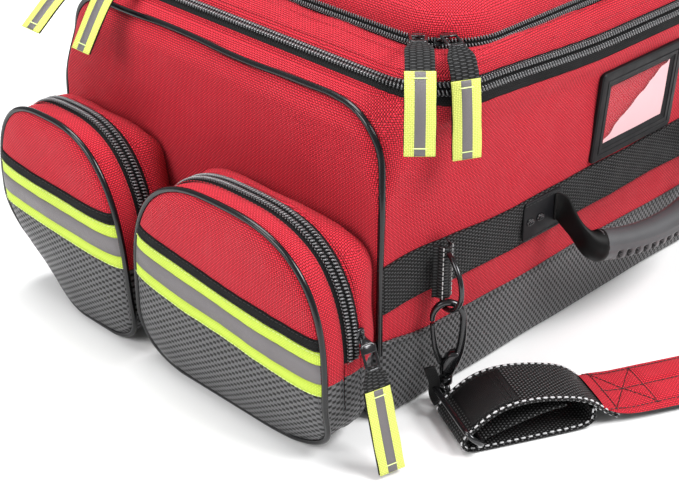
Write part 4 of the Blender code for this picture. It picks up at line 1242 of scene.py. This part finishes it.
def webbing(side, tag):
    """Broad carrying band sewn along one long wall."""
    half = 0.019
    steps = ((-half, 0.0002), (-half + 0.0003, 0.0016), (-half + 0.0012, 0.0022), (-0.009, 0.0024),
             (0.0, 0.0024), (0.009, 0.0024), (half - 0.0012, 0.0022), (half - 0.0003, 0.0016),
             (half, 0.0002))
    lines, outs = wall_lines([BAND_MIDDLE_Z + dz for dz, _ in steps], side)
    rows = np.array([line + outs * out for line, (_, out) in zip(lines, steps)])
    rows[:, :, 2] += wobble(rows[:1].repeat(len(rows), 0), 10.0, 0.0016, 12.0)
    m = Mesh()
    m.grid(rows)
    m.make("webbing_" + tag, "root", "webbing", WEBBING, replaces=("webbing_" + tag,))
    t = Mesh()
    for row in (rows[2], rows[-3]):
        stitches(t, row + outs * 0.0001, (0.0, side, 0.0), pitch=0.0042, radius=0.0003)
    t.make("webbing_%s_stitching" % tag, "root", "webbing", THREAD_BLACK)


def keeper(x, label):
    """Upright strip of webbing that holds a ring's bar against the band."""
    bar_y = -0.1858
    arc = [(x + 0.0046 * math.cos(a), bar_y + 0.0046 * math.sin(a))
           for a in np.radians(np.linspace(170, 370, 14))]
    line = [(x - 0.0078, -0.1820), (x - 0.0062, -0.1826), (x - 0.0054, -0.1838)] + arc \
        + [(x + 0.0054, -0.1838), (x + 0.0062, -0.1826), (x + 0.0078, -0.1820)]
    line = smooth_path(np.array(line), 1)
    t = directions(line)
    n = np.column_stack([t[:, 1], -t[:, 0]])
    rows = []
    for z, out in ((0.0890, 0.0), (0.0894, 0.0011), (0.0950, 0.0013), (0.1265, 0.0013),
                   (0.1306, 0.0011), (0.1310, 0.0)):
        rows.append(level(line + n * out, z))
    m = Mesh()
    m.grid(rows)
    m.grid(np.array(rows)[:, ::-1] + (0.0, 0.0006, 0.0))
    for sign in (-1, 1):
        turn = math.radians(270 + sign * 52)
        spot = (x + 0.0060 * math.cos(turn), bar_y + 0.0060 * math.sin(turn))
        stitches(m, [(*spot, 0.0905), (*spot, 0.1295)], (math.cos(turn), math.sin(turn), 0.0),
                 pitch=0.0040, radius=0.00050, slot=1)
    m.make("ring_keeper_" + label, "root", "webbing", RIBBED, THREAD_GREY)


def d_ring(x, yaw, label):
    """Wire ring whose straight bar the keeper holds."""
    place = yawed((x, -0.1858, 0.1035), yaw)
    turns = np.linspace(0.0, math.pi, 40)
    bow = [(0.026 * math.sin(a), 0.0, 0.023 * math.cos(a)) for a in turns]
    bar = [(0.0, 0.0, z) for z in np.linspace(-0.0215, 0.0215, 16)]
    line = resample(smooth_path(np.array(bow + bar), 2, closed=True), 0.0015, closed=True)
    m = Mesh()
    rod(m, place(line), 0.0020, normals=place.y, closed=True, sides=14)
    m.make("d_ring_%s_wire" % label, "d_ring_" + label, "hardware", GUNMETAL,
           replaces=("d_ring_" + label,))


# ---- side handles ----------------------------------------------------------------------
GRIP_HALF, GRIP_RADIUS = 0.079, 0.0125
GRIP_OUT, GRIP_BOW = 0.051, 0.014       # the grip's distance from its pivots, and its bow


def grip_reach(x):
    """Distance of the grip's middle line from the line through its pivots."""
    return GRIP_OUT - GRIP_BOW * (x / GRIP_HALF) ** 2


def grip(tag, side, across, away, spot):
    """Oval rubber grip with finger notches on its inside and a groove along each flank."""
    xs = np.linspace(-0.0775, 0.0775, 176)
    sides = 56
    turns = 2 * math.pi * np.arange(sides) / sides
    rows = []
    for x in xs:
        slope = math.atan(-2 * GRIP_BOW * x / GRIP_HALF ** 2)
        out_axis = unit(away * math.cos(slope) - np.array((1.0, 0.0, 0.0)) * math.sin(slope))
        bearing = (turns - math.radians(12 * side) + math.pi) % (2 * math.pi) - math.pi
        inside = np.clip(1.3 - (bearing / 0.52) ** 2, 0.0, 1.0)
        phase = ((x + 0.0045 * side * bearing) / 0.0088) % 1.0
        notch = ease(np.abs(phase - 0.5), 0.24, 0.32) * ease(inside, 0.05, 0.35) \
            * float(ease(0.070 - abs(x), 0.0, 0.006))
        groove = 0.0006 * np.exp(-((np.abs(bearing) - 0.80) / 0.05) ** 2)
        radius = GRIP_RADIUS - 0.0030 * notch - groove
        flatten = 1 - 0.06 * np.cos(2 * turns)
        rows.append(spot(x, grip_reach(x)) + np.outer(radius * flatten * np.cos(turns), out_axis)
                    + np.outer(radius * np.sin(turns) * side, across))
    middle = np.array([spot(x, grip_reach(x)) for x in xs])

    # Painted shade: faces deep in the finger notches take the near-black moulded material.
    def shaded_notch_slot(point):
        near = middle[np.argmin(np.abs(middle[:, 0] - point[0]))]
        return 1 if np.linalg.norm(point - near) < GRIP_RADIUS - 0.0016 else 0

    m = Mesh()
    m.grid(rows, closed=True, slot=shaded_notch_slot, cap=True, flip=side < 0)
    m.make("grip_" + tag, "handle_" + tag, "grip", RUBBER, MOULDED,
           replaces=("handle_grip_" + tag, "handle_strap_" + tag))


def handle_neck(tag, side, across, spot, end, label):
    """Flat strap at the wall that turns down, thickens and becomes the cup of the grip.
    Stations are (centre, first axis, half sizes along both axes, power of the outline)."""
    stations = [((end * 0.0945, side * 0.1848, 0.1120), UP, 0.0108, 0.0012, 6.0),
                ((end * 0.0925, side * 0.1853, 0.1120), UP, 0.0112, 0.0015, 6.0),
                ((end * 0.0908, side * 0.1868, 0.1115), unit((0, side * 0.12, 1)), 0.0110,
                 0.0016, 6.0),
                ((end * 0.0892, side * 0.1900, 0.1082), unit((0, side * 0.35, 1)), 0.0102,
                 0.0018, 5.0),
                (spot(end * 0.0880, 0.0135), unit((0, side * 0.7, 1)), 0.0094, 0.0019, 4.0),
                (spot(end * 0.0866, 0.0205), across, 0.0090, 0.0024, 3.4),
                (spot(end * 0.0850, 0.0265), across, 0.0096, 0.0040, 2.8),
                (spot(end * 0.0828, 0.0318), across, 0.0108, 0.0076, 2.3),
                (spot(end * 0.0800, 0.0352), across, 0.0120, 0.0112, 2.0),
                (spot(end * 0.0752, 0.0384), across, 0.0130, 0.0130, 2.0),
                (spot(end * 0.0745, 0.0386), across, 0.0120, 0.0120, 2.0)]
    table = np.array([[*centre, *axis, *sizes] for centre, axis, *sizes in stations])
    fine = read_at(np.linspace(0.0, 1.0, 36), np.linspace(0.0, 1.0, len(stations)), table)
    path, axes = fine[:, :3], fine[:, 3:6]
    path[1:-1] = (path[:-2] + 2 * path[1:-1] + path[2:]) / 4
    sections = []
    for centre, axis, t, sizes in zip(path, axes, directions(path), fine[:, 6:]):
        a = unit(axis - t * np.dot(axis, t))
        sections.append((centre, a, unit(np.cross(t, a)), *sizes))
    m = Mesh()
    loft(m, sections, 28)
    neck = m.make("handle_neck_%s_%s" % (tag, label), None, "webbing", NECK)
    tuple(spot(end * 0.0890, 0.0150))
    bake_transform(neck)


def anchor_plate(tag, side, end, label):
    """Riveted and sewn plate that holds one end of a handle to the webbing."""
    base = Place((end * 0.1070, side * 0.1822, 0.110), (1, 0, 0), (0, 0, 1), (0, side, 0))
    m = Mesh()
    plate(m, base, 0.0225, 0.0165, 0.0024, 0.0040, 0.0007)
    for dx in (0.0040, 0.0155):
        rivet = base.at((end * dx, 0.0, 0.0024), (1, 0, 0), (0, 1, 0), (0, 0, 1))
        rings = lift_outline(rivet, 6, ((-0.0004, 0.0), (0.0008, 0.0001), (0.0013, 0.0006),
                                        (0.0013, 0.0012), (0.0007, 0.0016)),
                             0.0042, 0.0030, 0.0029)
        m.grid(rings, closed=True, cap=True, slot=1)
    for dz in (-0.0142, 0.0142):
        stitches(m, base([(-0.020, dz, 0.0025), (0.020, dz, 0.0025)]), (0, side, 0),
                 radius=0.0003, slot=2)
    m.make("anchor_plate_%s_%s" % (tag, label), "root", "webbing", MOULDED, GUNMETAL,
           THREAD_BLACK)


def handle(side, tag):
    """Moulded grip that hangs at 45 degrees below level, with its necks and wall plates."""
    across, away = unit((0.0, side, 1.0)), unit((0.0, side, -1.0))
    pivot = np.array((0.0, side * 0.187, 0.110))

    def spot(x, out):
        return pivot + np.array((x, 0.0, 0.0)) + away * out

    grip(tag, side, across, away, spot)
    for end, label in ((-1, "left"), (1, "right")):
        handle_neck(tag, side, across, spot, end, label)
        anchor_plate(tag, side, end, label)


# ---- identity window -------------------------------------------------------------------
def id_window():
    """Moulded frame sewn to the near wall, and its clear film."""
    tilt = math.atan(FLARE)
    place = Place((0.0, -0.1851, 0.169), (1, 0, 0), (0.0, -math.sin(tilt), math.cos(tilt)),
                  (0.0, -math.cos(tilt), -math.sin(tilt)))
    steps = [(0.0, -0.0016), (0.0, 0.0009), (0.0010, 0.0020), (0.0030, 0.0024), (0.0058, 0.0024),
             (0.0063, 0.0017), (0.0069, 0.0017), (0.0074, 0.0024), (0.0100, 0.0024),
             (0.0104, 0.0016), (0.0112, 0.0014), (0.0132, 0.0004), (0.0139, 0.0002),
             (0.0139, -0.0016)]
    rings = []
    for inset, height in steps:
        pts = rounded(0.0515 - inset, 0.0380 - inset, max(0.0042 - inset, 0.0004), 5)
        rings.append(place(level(pts, height)))
    m = Mesh()
    m.grid(np.array(rings), closed=True, flat=True)
    made = m.make("id_window_frame", "root", "window_frame", MOULDED, replaces=("id_frame",))
    made.data.set_sharp_from_angle(angle=math.radians(32))
    us = np.linspace(-0.0376, 0.0376, 40)
    vs = np.linspace(-0.0242, 0.0242, 26)
    rows = np.array([[(u, v, 0.0) for u in us] for v in vs])
    rows[:, :, 2] = 0.0003 + wobble(rows, 35.0, 0.0007, 2.0)
    f = Mesh()
    f.grid(place(rows), flip=True)
    f.make("id_window_film", "root", "window_film", FILM, replaces=("id_film",))
    t = Mesh()
    outline = rounded(0.0462, 0.0327, 0.001, 2)
    stitches(t, place(level(outline, 0.0018)), place.z, pitch=0.0036, radius=0.00025)
    t.make("id_window_stitching", "root", "window_frame", THREAD_BLACK)


# ---- shoulder strap --------------------------------------------------------------------
STRAP = yawed((-0.2369, -0.2275, 0.0), -26.0)
WEB_WIDTH, WEB_THICK = 0.050, 0.0018
PAD_START, PAD_END = 0.1020, 0.5025
SEAM_Y = 0.0225                  # stitch lines along the pad, on each side of its middle
CROSS_START, CROSS_LONG = 0.010, 0.034   # a boxed cross, from each end of the pad
TAIL_START, TAIL_END = 0.5029, 0.7729
SLIDE_AT = TAIL_START + 0.110
BAR_Z = 0.0070


def flat_path(points, lift=0.0):
    """World points and normals of a side view of (along, up) points of the strap."""
    line = resample(smooth_path(np.array(points), 3), 0.0020)
    t = directions(line)
    n = np.column_stack([-t[:, 1], t[:, 0]])
    line = line + n * lift
    return STRAP(upright(line)), n[:, :1] * STRAP.x + n[:, 1:] * STRAP.z


def edge_threads(mesh, world, normals):
    """Pale threads woven in near both edges of the strap, seen on both faces."""
    _, n, b = path_frames(world, normals)
    for sign in (-1, 1):
        for face in (-1, 1):
            line = world + b * sign * (WEB_WIDTH / 2 - 0.0024)
            line = line + n * face * (WEB_THICK / 2 + 0.0001)
            stitches(mesh, line, n * face, pitch=0.0056, fill=0.60, radius=0.00085, slot=1)


def strap_left():
    """Webbing loop from the pad round the left ring, with its inner tongue, the patch
    sewn over it and the loose end beside it. Paths are side views of the strap."""
    outer = [(0.1080, 0.0050), (0.1006, 0.0090), (0.0945, 0.0145), (0.0860, 0.0218),
             (0.0750, 0.0268), (0.0520, 0.0322), (0.0330, 0.0340), (0.0170, 0.0318),
             (0.0050, 0.0260), (-0.0050, 0.0180), (-0.0112, 0.0120), (-0.0132, 0.0070),
             (-0.0105, 0.0028), (-0.0030, 0.0013), (0.0100, 0.0012), (0.0500, 0.0012),
             (0.0780, 0.0014), (0.0865, 0.0036), (0.0898, 0.0085), (0.0890, 0.0135)]
    world, normals = flat_path(outer)
    m = Mesh()
    band(m, world, normals, WEB_WIDTH, WEB_THICK)
    edge_threads(m, world, normals)
    inner = [(-0.0030, 0.0070), (0.0120, 0.0120), (0.0320, 0.0180), (0.0520, 0.0225),
             (0.0660, 0.0235)]
    tongue, tongue_n = flat_path(inner)
    band(m, tongue, tongue_n, WEB_WIDTH - 0.003, 0.0014)
    m.make("strap_loop_left", "strap", "webbing", STRAP_WEB, THREAD_PALE,
           replaces=("strap_web_left",))
    top = [(0.0300, 0.0346), (0.0170, 0.0325), (0.0050, 0.0267), (-0.0040, 0.0195)]
    patch, patch_n = flat_path(top, -0.0004)
    p = Mesh()
    band(p, patch, patch_n, WEB_WIDTH - 0.0095, 0.0012)
    _, n, b = path_frames(patch, -patch_n)
    for k in (2, 4):
        line = patch[k] + n[k] * 0.0008 + np.outer(np.linspace(-0.019, 0.019, 12), b[k])
        stitches(p, line, n[k], pitch=0.0030, radius=0.0003, slot=1)
    for sign in (-1, 1):
        stitches(p, patch + b * sign * 0.0185 + n * 0.0007, n, pitch=0.003, radius=0.0003, slot=1)
    p.make("strap_loop_patch", "strap", "webbing", SMOOTH_TAPE, THREAD_BLACK)
    lean = smooth_path(STRAP([(-0.0120, 0.024, 0.0125), (-0.0125, 0.033, 0.0150)]).tolist()
                       + [(-0.2345, -0.1945, 0.0250), (-0.2395, -0.1925, 0.0400)])
    s = Mesh()
    band(s, resample(lean, 0.002), (-0.75, -0.55, 0.45), 0.0085, 0.0018)
    s.make("strap_loose_end", "strap", "webbing", SMOOTH_TAPE)


def strap_tail():
    """Webbing from the pad to the right ring and back over itself, with its slide."""
    turn = [(TAIL_END + 0.0046 * math.cos(a), BAR_Z + 0.0046 * math.sin(a))
            for a in np.radians(np.linspace(270, 440, 9))]
    line = [(TAIL_START - 0.006, 0.0062), (TAIL_START, 0.0060), (TAIL_START + 0.03, 0.0014),
            (SLIDE_AT - 0.02, 0.0014), (SLIDE_AT + 0.02, 0.0014), (TAIL_END - 0.03, 0.0014),
            (TAIL_END - 0.008, 0.0018)] + turn \
        + [(TAIL_END - 0.02, 0.0084), (TAIL_END - 0.06, 0.0052), (TAIL_END - 0.10, 0.0046)]
    world, normals = flat_path(line)
    m = Mesh()
    band(m, world, normals, WEB_WIDTH, WEB_THICK)
    edge_threads(m, world, normals)
    m.make("strap_tail", "strap", "webbing", STRAP_WEB, THREAD_PALE, replaces=("strap_web_right",))
    s = Mesh()
    middle = STRAP.at((SLIDE_AT, 0.0, 0.0049), (1, 0, 0), (0, 1, 0), (0, 0, 1))
    outline = rounded(0.0118, 0.0295, 0.0045)
    rod(s, resample(middle(level(outline, 0.0)), 0.0015, closed=True), 0.0020, normals=STRAP.z,
        closed=True, squash=0.8)
    rod(s, middle(np.array([(0.0, y, 0.0004) for y in np.linspace(-0.0295, 0.0295, 12)])),
        0.0021, normals=STRAP.z, squash=0.8)
    s.make("tri_glide", "slide", "hardware", GUNMETAL, replaces=("strap_slide",))


def sewn_depth(s, y, total):
    """How far stitch lines draw the pad in, from 0 to 1, at s along it and y across."""
    depth = np.exp(-(y / 0.0022) ** 2) * (s > CROSS_START)
    depth = np.maximum(depth, np.exp(-((np.abs(y) - SEAM_Y) / 0.0018) ** 2))
    for start, sign in ((CROSS_START, 1), (total - CROSS_START, -1)):
        d = (s - start) * sign
        inside = (d > -0.001) & (d < CROSS_LONG + 0.001)
        for k in (-1, 1):
            gap = (y - k * (-SEAM_Y + SEAM_Y * 2 / CROSS_LONG * d)) / 0.0022
            depth = np.maximum(depth, np.exp(-gap ** 2) * inside)
        for edge in (0.0, CROSS_LONG):
            depth = np.maximum(depth, np.exp(-((d - edge) / 0.0018) ** 2) * (np.abs(y) < SEAM_Y))
    return depth


def pad_stitching(top, along, half):
    """Stitches down the pad's middle and edges, and a boxed cross near each end."""
    total = along[-1]
    m = Mesh()

    def on_top(d, y):
        column = float(np.interp(d, along, np.arange(len(along))))
        i = int(min(column, len(along) - 2))
        f = column - i
        row = float(np.interp(y / half[i], SHARES, np.arange(len(SHARES))))
        j = int(min(row, len(SHARES) - 2))
        g = row - j
        a = top[j, i] * (1 - f) + top[j, i + 1] * f
        b = top[j + 1, i] * (1 - f) + top[j + 1, i + 1] * f
        return a * (1 - g) + b * g + STRAP.z * 0.0003

    def sew(*route):
        route = resample(np.array(route), 0.002)
        stitches(m, np.array([on_top(d, y) for d, y in route]), STRAP.z, pitch=0.0036, fill=0.8,
                 radius=0.00038)

    sew((CROSS_START, 0.0), (total - CROSS_START, 0.0))
    for y in (-SEAM_Y, SEAM_Y):
        sew((0.006, y), (total - 0.006, y))
    for start, sign in ((CROSS_START, 1), (total - CROSS_START, -1)):
        end = start + sign * CROSS_LONG
        for first, last in ((start, end), (end, start), (start, start), (end, end)):
            sew((first, -SEAM_Y), (last, SEAM_Y))
    m.make("shoulder_pad_stitching", "strap", "red_fabric", THREAD_BLACK)


def strap_pad():
    """Foam pad in red cloth over a black backing, with a boxed cross of stitching."""
    line = [(PAD_START - 0.0050, 0.0125), (PAD_START + 0.0100, 0.0080), (0.1300, 0.0062),
            (0.2000, 0.0062), (PAD_END - 0.05, 0.0062), (PAD_END, 0.0062)]
    path = resample(smooth_path(np.array(line), 3), 0.0022)
    along = distances(path)
    total = along[-1]
    t = directions(path)
    n = np.column_stack([-t[:, 1], t[:, 0]])
    ends = np.minimum(along, total - along)
    full = ease(ends, 0.0, 0.060)
    half = 0.0275 - 0.0030 * (1 - ease(ends, 0.0, 0.012))
    half[along < 0.02] -= 0.0020 * (1 - along[along < 0.02] / 0.02)
    top, low = [], []
    for share in SHARES:
        y = share * half
        round_off = (1 - abs(share) ** 4) ** 0.5
        spots = np.column_stack([path[:, 0], y, path[:, 1]])
        puff = wobble(spots, 28.0, 0.0009, 31.0) * full
        sink = sewn_depth(along, y, total) * (0.0006 + 0.0016 * full)
        rise = (0.0022 + 0.0040 * full + puff - sink) * round_off
        fall = -(0.0016 + 0.0040 * full) * round_off
        for rows, lift in ((top, rise), (low, fall)):
            out, up = (path + n * lift[:, None]).T
            rows.append(STRAP(np.column_stack([out, y, np.maximum(up, 0.0006)])))
    top, low = np.array(top), np.array(low)
    m = Mesh()
    m.grid(top, flip=True)
    m.grid(low, slot=1)
    for k in (0, -1):
        m.grid([top[:, k], low[:, k]], slot=1, flip=k == 0)
    pad = m.make("shoulder_pad", "strap", "red_fabric", RED, SMOOTH_TAPE, replaces=("strap_pad",))
    pad_stitching(top, along, half)


def strap_ring(label, body, place, half_width):
    """Long wire ring in its place's XY plane."""
    outline = rounded(0.0080, half_width, 0.0060, 8)
    m = Mesh()
    rod(m, resample(place(level(outline, 0.0)), 0.0015, closed=True), 0.0021, normals=place.z,
        closed=True, sides=14)
    m.make("strap_ring_%s_wire" % label, body, "hardware", GUNMETAL,
           replaces=("strap_ring_" + label,))


def snap_hook(label, place, eye_turn):
    """Hook in its place's XZ plane, with its gate, swivel and oval eye."""
    wire = [(0.0040, -0.0040), (0.0076, 0.0055), (0.0100, 0.0150), (0.0112, 0.0270)]
    wire += [(0.0112 * math.cos(a), 0.0385 + 0.0135 * math.sin(a))
             for a in np.radians(np.linspace(0, 186, 24))]
    line = resample(smooth_path(np.array(wire), 2), 0.0012)
    share = np.linspace(0.0, 1.0, len(line))
    radii = 0.0034 - 0.0008 * ease(share, 0.1, 0.6) - 0.0006 * ease(share, 0.85, 1.0)
    m = Mesh()
    tube(m, place(upright(line)), radii, place.y)
    sections = []
    for x_mid, z, half_u, half_v in ((0.0004, -0.0088, 0.0040, 0.0032),
                                     (0.0006, -0.0074, 0.0052, 0.0042),
                                     (0.0010, -0.0030, 0.0060, 0.0046),
                                     (0.0020, 0.0020, 0.0062, 0.0046),
                                     (0.0042, 0.0080, 0.0046, 0.0042),
                                     (0.0056, 0.0110, 0.0036, 0.0034)):
        sections.append((place((x_mid, 0.0, z)), place.x, place.y, half_u, half_v, 3.0))
    loft(m, sections, 24)
    for z_low, z_high, radius in ((-0.0106, -0.0084, 0.0034), (-0.0162, -0.0104, 0.0050)):
        sections = [(place((0.0, 0.0, z)), place.x, place.y, radius * k, radius * k, 2.0)
                    for z, k in ((z_low, 0.86), (z_low + 0.0006, 1.0), (z_high - 0.0006, 1.0),
                                 (z_high, 0.86))]
        loft(m, sections, 22)
    m.make("snap_hook_" + label, "hook_" + label, "hardware", GUNMETAL, replaces=("hook_" + label,))
    g = Mesh()
    gate = resample(smooth_path(np.array([(-0.0040, 0.0010), (-0.0078, 0.0110), (-0.0100, 0.0240),
                                          (-0.0110, 0.0345)])), 0.0015)
    tube(g, place(upright(gate)), np.linspace(0.0023, 0.0019, len(gate)), place.y)
    g.make("snap_gate_" + label, "gate_" + label, "hardware", GUNMETAL,
           replaces=("hook_gate_" + label,))
    turn = math.radians(eye_turn)
    across = math.cos(turn) * place.x + math.sin(turn) * place.y
    facing = np.cross(place.z, across)
    loop = [place.origin + place.z * (-0.0248 + 0.0086 * math.sin(a)) + across * 0.0066 * math.cos(a)
            for a in np.linspace(0, 2 * math.pi, 40, endpoint=False)]
    e = Mesh()
    rod(e, np.array(loop), 0.0020, normals=facing, closed=True, sides=14)
    e.make("swivel_eye_" + label, "eye_" + label, "hardware", GUNMETAL,
           replaces=("hook_eye_" + label,))


def shoulder_strap():
    """All of the strap, with its rings and snap hooks."""
    strap_left()
    strap_tail()
    strap_pad()
    tilted = STRAP.at((-0.0062, 0.0030, 0.0150), (0.74, 0.0, -0.67), (0, 1, 0), (0.67, 0.0, 0.74))
    strap_ring("left", "strap", tilted, 0.0345)
    flat = STRAP.at((TAIL_END + 0.0080, 0.0, 0.0075), (1, 0, 0), (0, 1, 0), (0, 0, 1))
    strap_ring("right", "ring_right", flat, 0.0360)
    snap_hook("left", yawed((-0.2229, -0.1942, 0.0360), -45.0), -71.0)
    snap_hook("right", STRAP.at((TAIL_END + 0.0442, 0.0, 0.0091), (0, 1, 0), (0, 0, 1), (1, 0, 0)),
              90.0)


# ---- hinges, inside, base --------------------------------------------------------------
def soft_hinge(name, low, high, outs, bulge):
    """Cloth strip between lines on two bodies, thin and slightly rounded; it rides on no body."""
    across = unit(high - low)
    out = np.column_stack([outs * across[:, 2:3], -(across[:, :2] * outs).sum(axis=1)])
    outer = [low * (1 - f) + high * f + out * bulge * math.sin(math.pi * f)
             for f in np.linspace(0.0, 1.0, 9)]
    inner = [row - out * 0.0010 for row in outer[::-1]]
    m = Mesh()
    m.grid(np.array(outer + inner))
    made = m.make(name, None, "red_fabric", RED)
    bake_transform(made)


def soft_hinges():
    """Cloth that joins the lid to the back wall and the top pocket to the lid."""
    _, outs = ring(ZIP_HALF_X, ZIP_HALF_Y, ZIP_CORNER)
    back = np.arange(U_COUNT - ZIP_SKIP - 2, len(outs) + ZIP_SKIP + 2) % len(outs)
    low, high = zip_rail(0.0112, 0.2442, 0.0056, 0.2258), zip_rail(-0.0085, 0.2490, 0.0010, 0.2474)
    soft_hinge("lid_hinge_strip", low[back], high[back], outs[back], 0.0020)
    _, outs = ring(TOP_HALF_X, TOP_HALF_Y, TOP_CORNER)
    low, high = top_rail(0.0040, 0.2612), drawn_in(top_rail(0.0034, 0.2705), outs)
    soft_hinge("top_hinge_strip", low[back], high[back], outs[back], 0.0012)


def inside_pieces():
    """The padded divider with its binding, the base cloth and the stiff board."""
    low, high = (np.array(corner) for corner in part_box("divider"))
    middle, reach = (low + high) / 2, (high - low) / 2
    thin = int(np.argmin(reach[:2]))
    x, z = np.eye(3)[1 - thin], np.eye(3)[thin]
    place = Place(middle - z * reach[thin], x, UP, z)
    half_u, half_v, thick = reach[1 - thin], reach[2], reach[thin] * 2
    rings = lift_outline(place, 8, ((thick * 0.28, 0.03), (thick * 0.12, 0.012),
                                    (thick * 0.06, 0.006), (thick * 0.22, 0.002),
                                    (thick * 0.5, 0.0), (thick * 0.78, 0.002),
                                    (thick * 0.94, 0.006), (thick * 0.88, 0.012),
                                    (thick * 0.72, 0.03)), half_u - 0.001, half_v - 0.001, 0.016)
    m = Mesh()
    m.grid(rings, closed=True, cap=True, slot=0, flat=True, flip=thin == 0)
    made = m.make("padded_divider", "root", "red_fabric", LINING, replaces=("divider",))
    outline = rounded(half_u - 0.0012, half_v - 0.0012, 0.015, 8)
    c = Mesh()
    rod(c, resample(place(level(outline, thick / 2)), 0.004, closed=True), thick * 0.32,
        normals=z, closed=True)
    c.make("divider_binding", "root", "piping", TAPE)
    low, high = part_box("base_panel")
    base = Place(((low[0] + high[0]) / 2, (low[1] + high[1]) / 2, low[2]), (1, 0, 0), (0, 1, 0),
                 UP)
    b = Mesh()
    plate(b, base, (high[0] - low[0]) / 2, (high[1] - low[1]) / 2, high[2] - low[2], 0.010, 0.0006)
    b.make("base_cloth", "root", "boot", SCALES, replaces=("base_panel",))
    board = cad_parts["base_board"]
    for index in range(len(board.material_slots)):
        board.material_slots[index].material = BOARD


# ---- the whole scene -------------------------------------------------------------------
stage()
bag_body()
foot_belt()
for pocket in POCKETS:
    gusset(*pocket)
    pocket_zip(*pocket)
    pocket_front(*pocket)
lid()
top_cover()
main_zip()
top_zip()
end_piping(-1, "left")
end_piping(1, "right")
all_pulls()
webbing(-1, "front")
webbing(1, "back")
keeper(-0.220, "left")
keeper(0.220, "right")
d_ring(-0.220, -109.0, "left")
d_ring(0.220, -90.0, "right")
handle(-1, "front")
handle(1, "back")
id_window()
shoulder_strap()
soft_hinges()
inside_pieces()
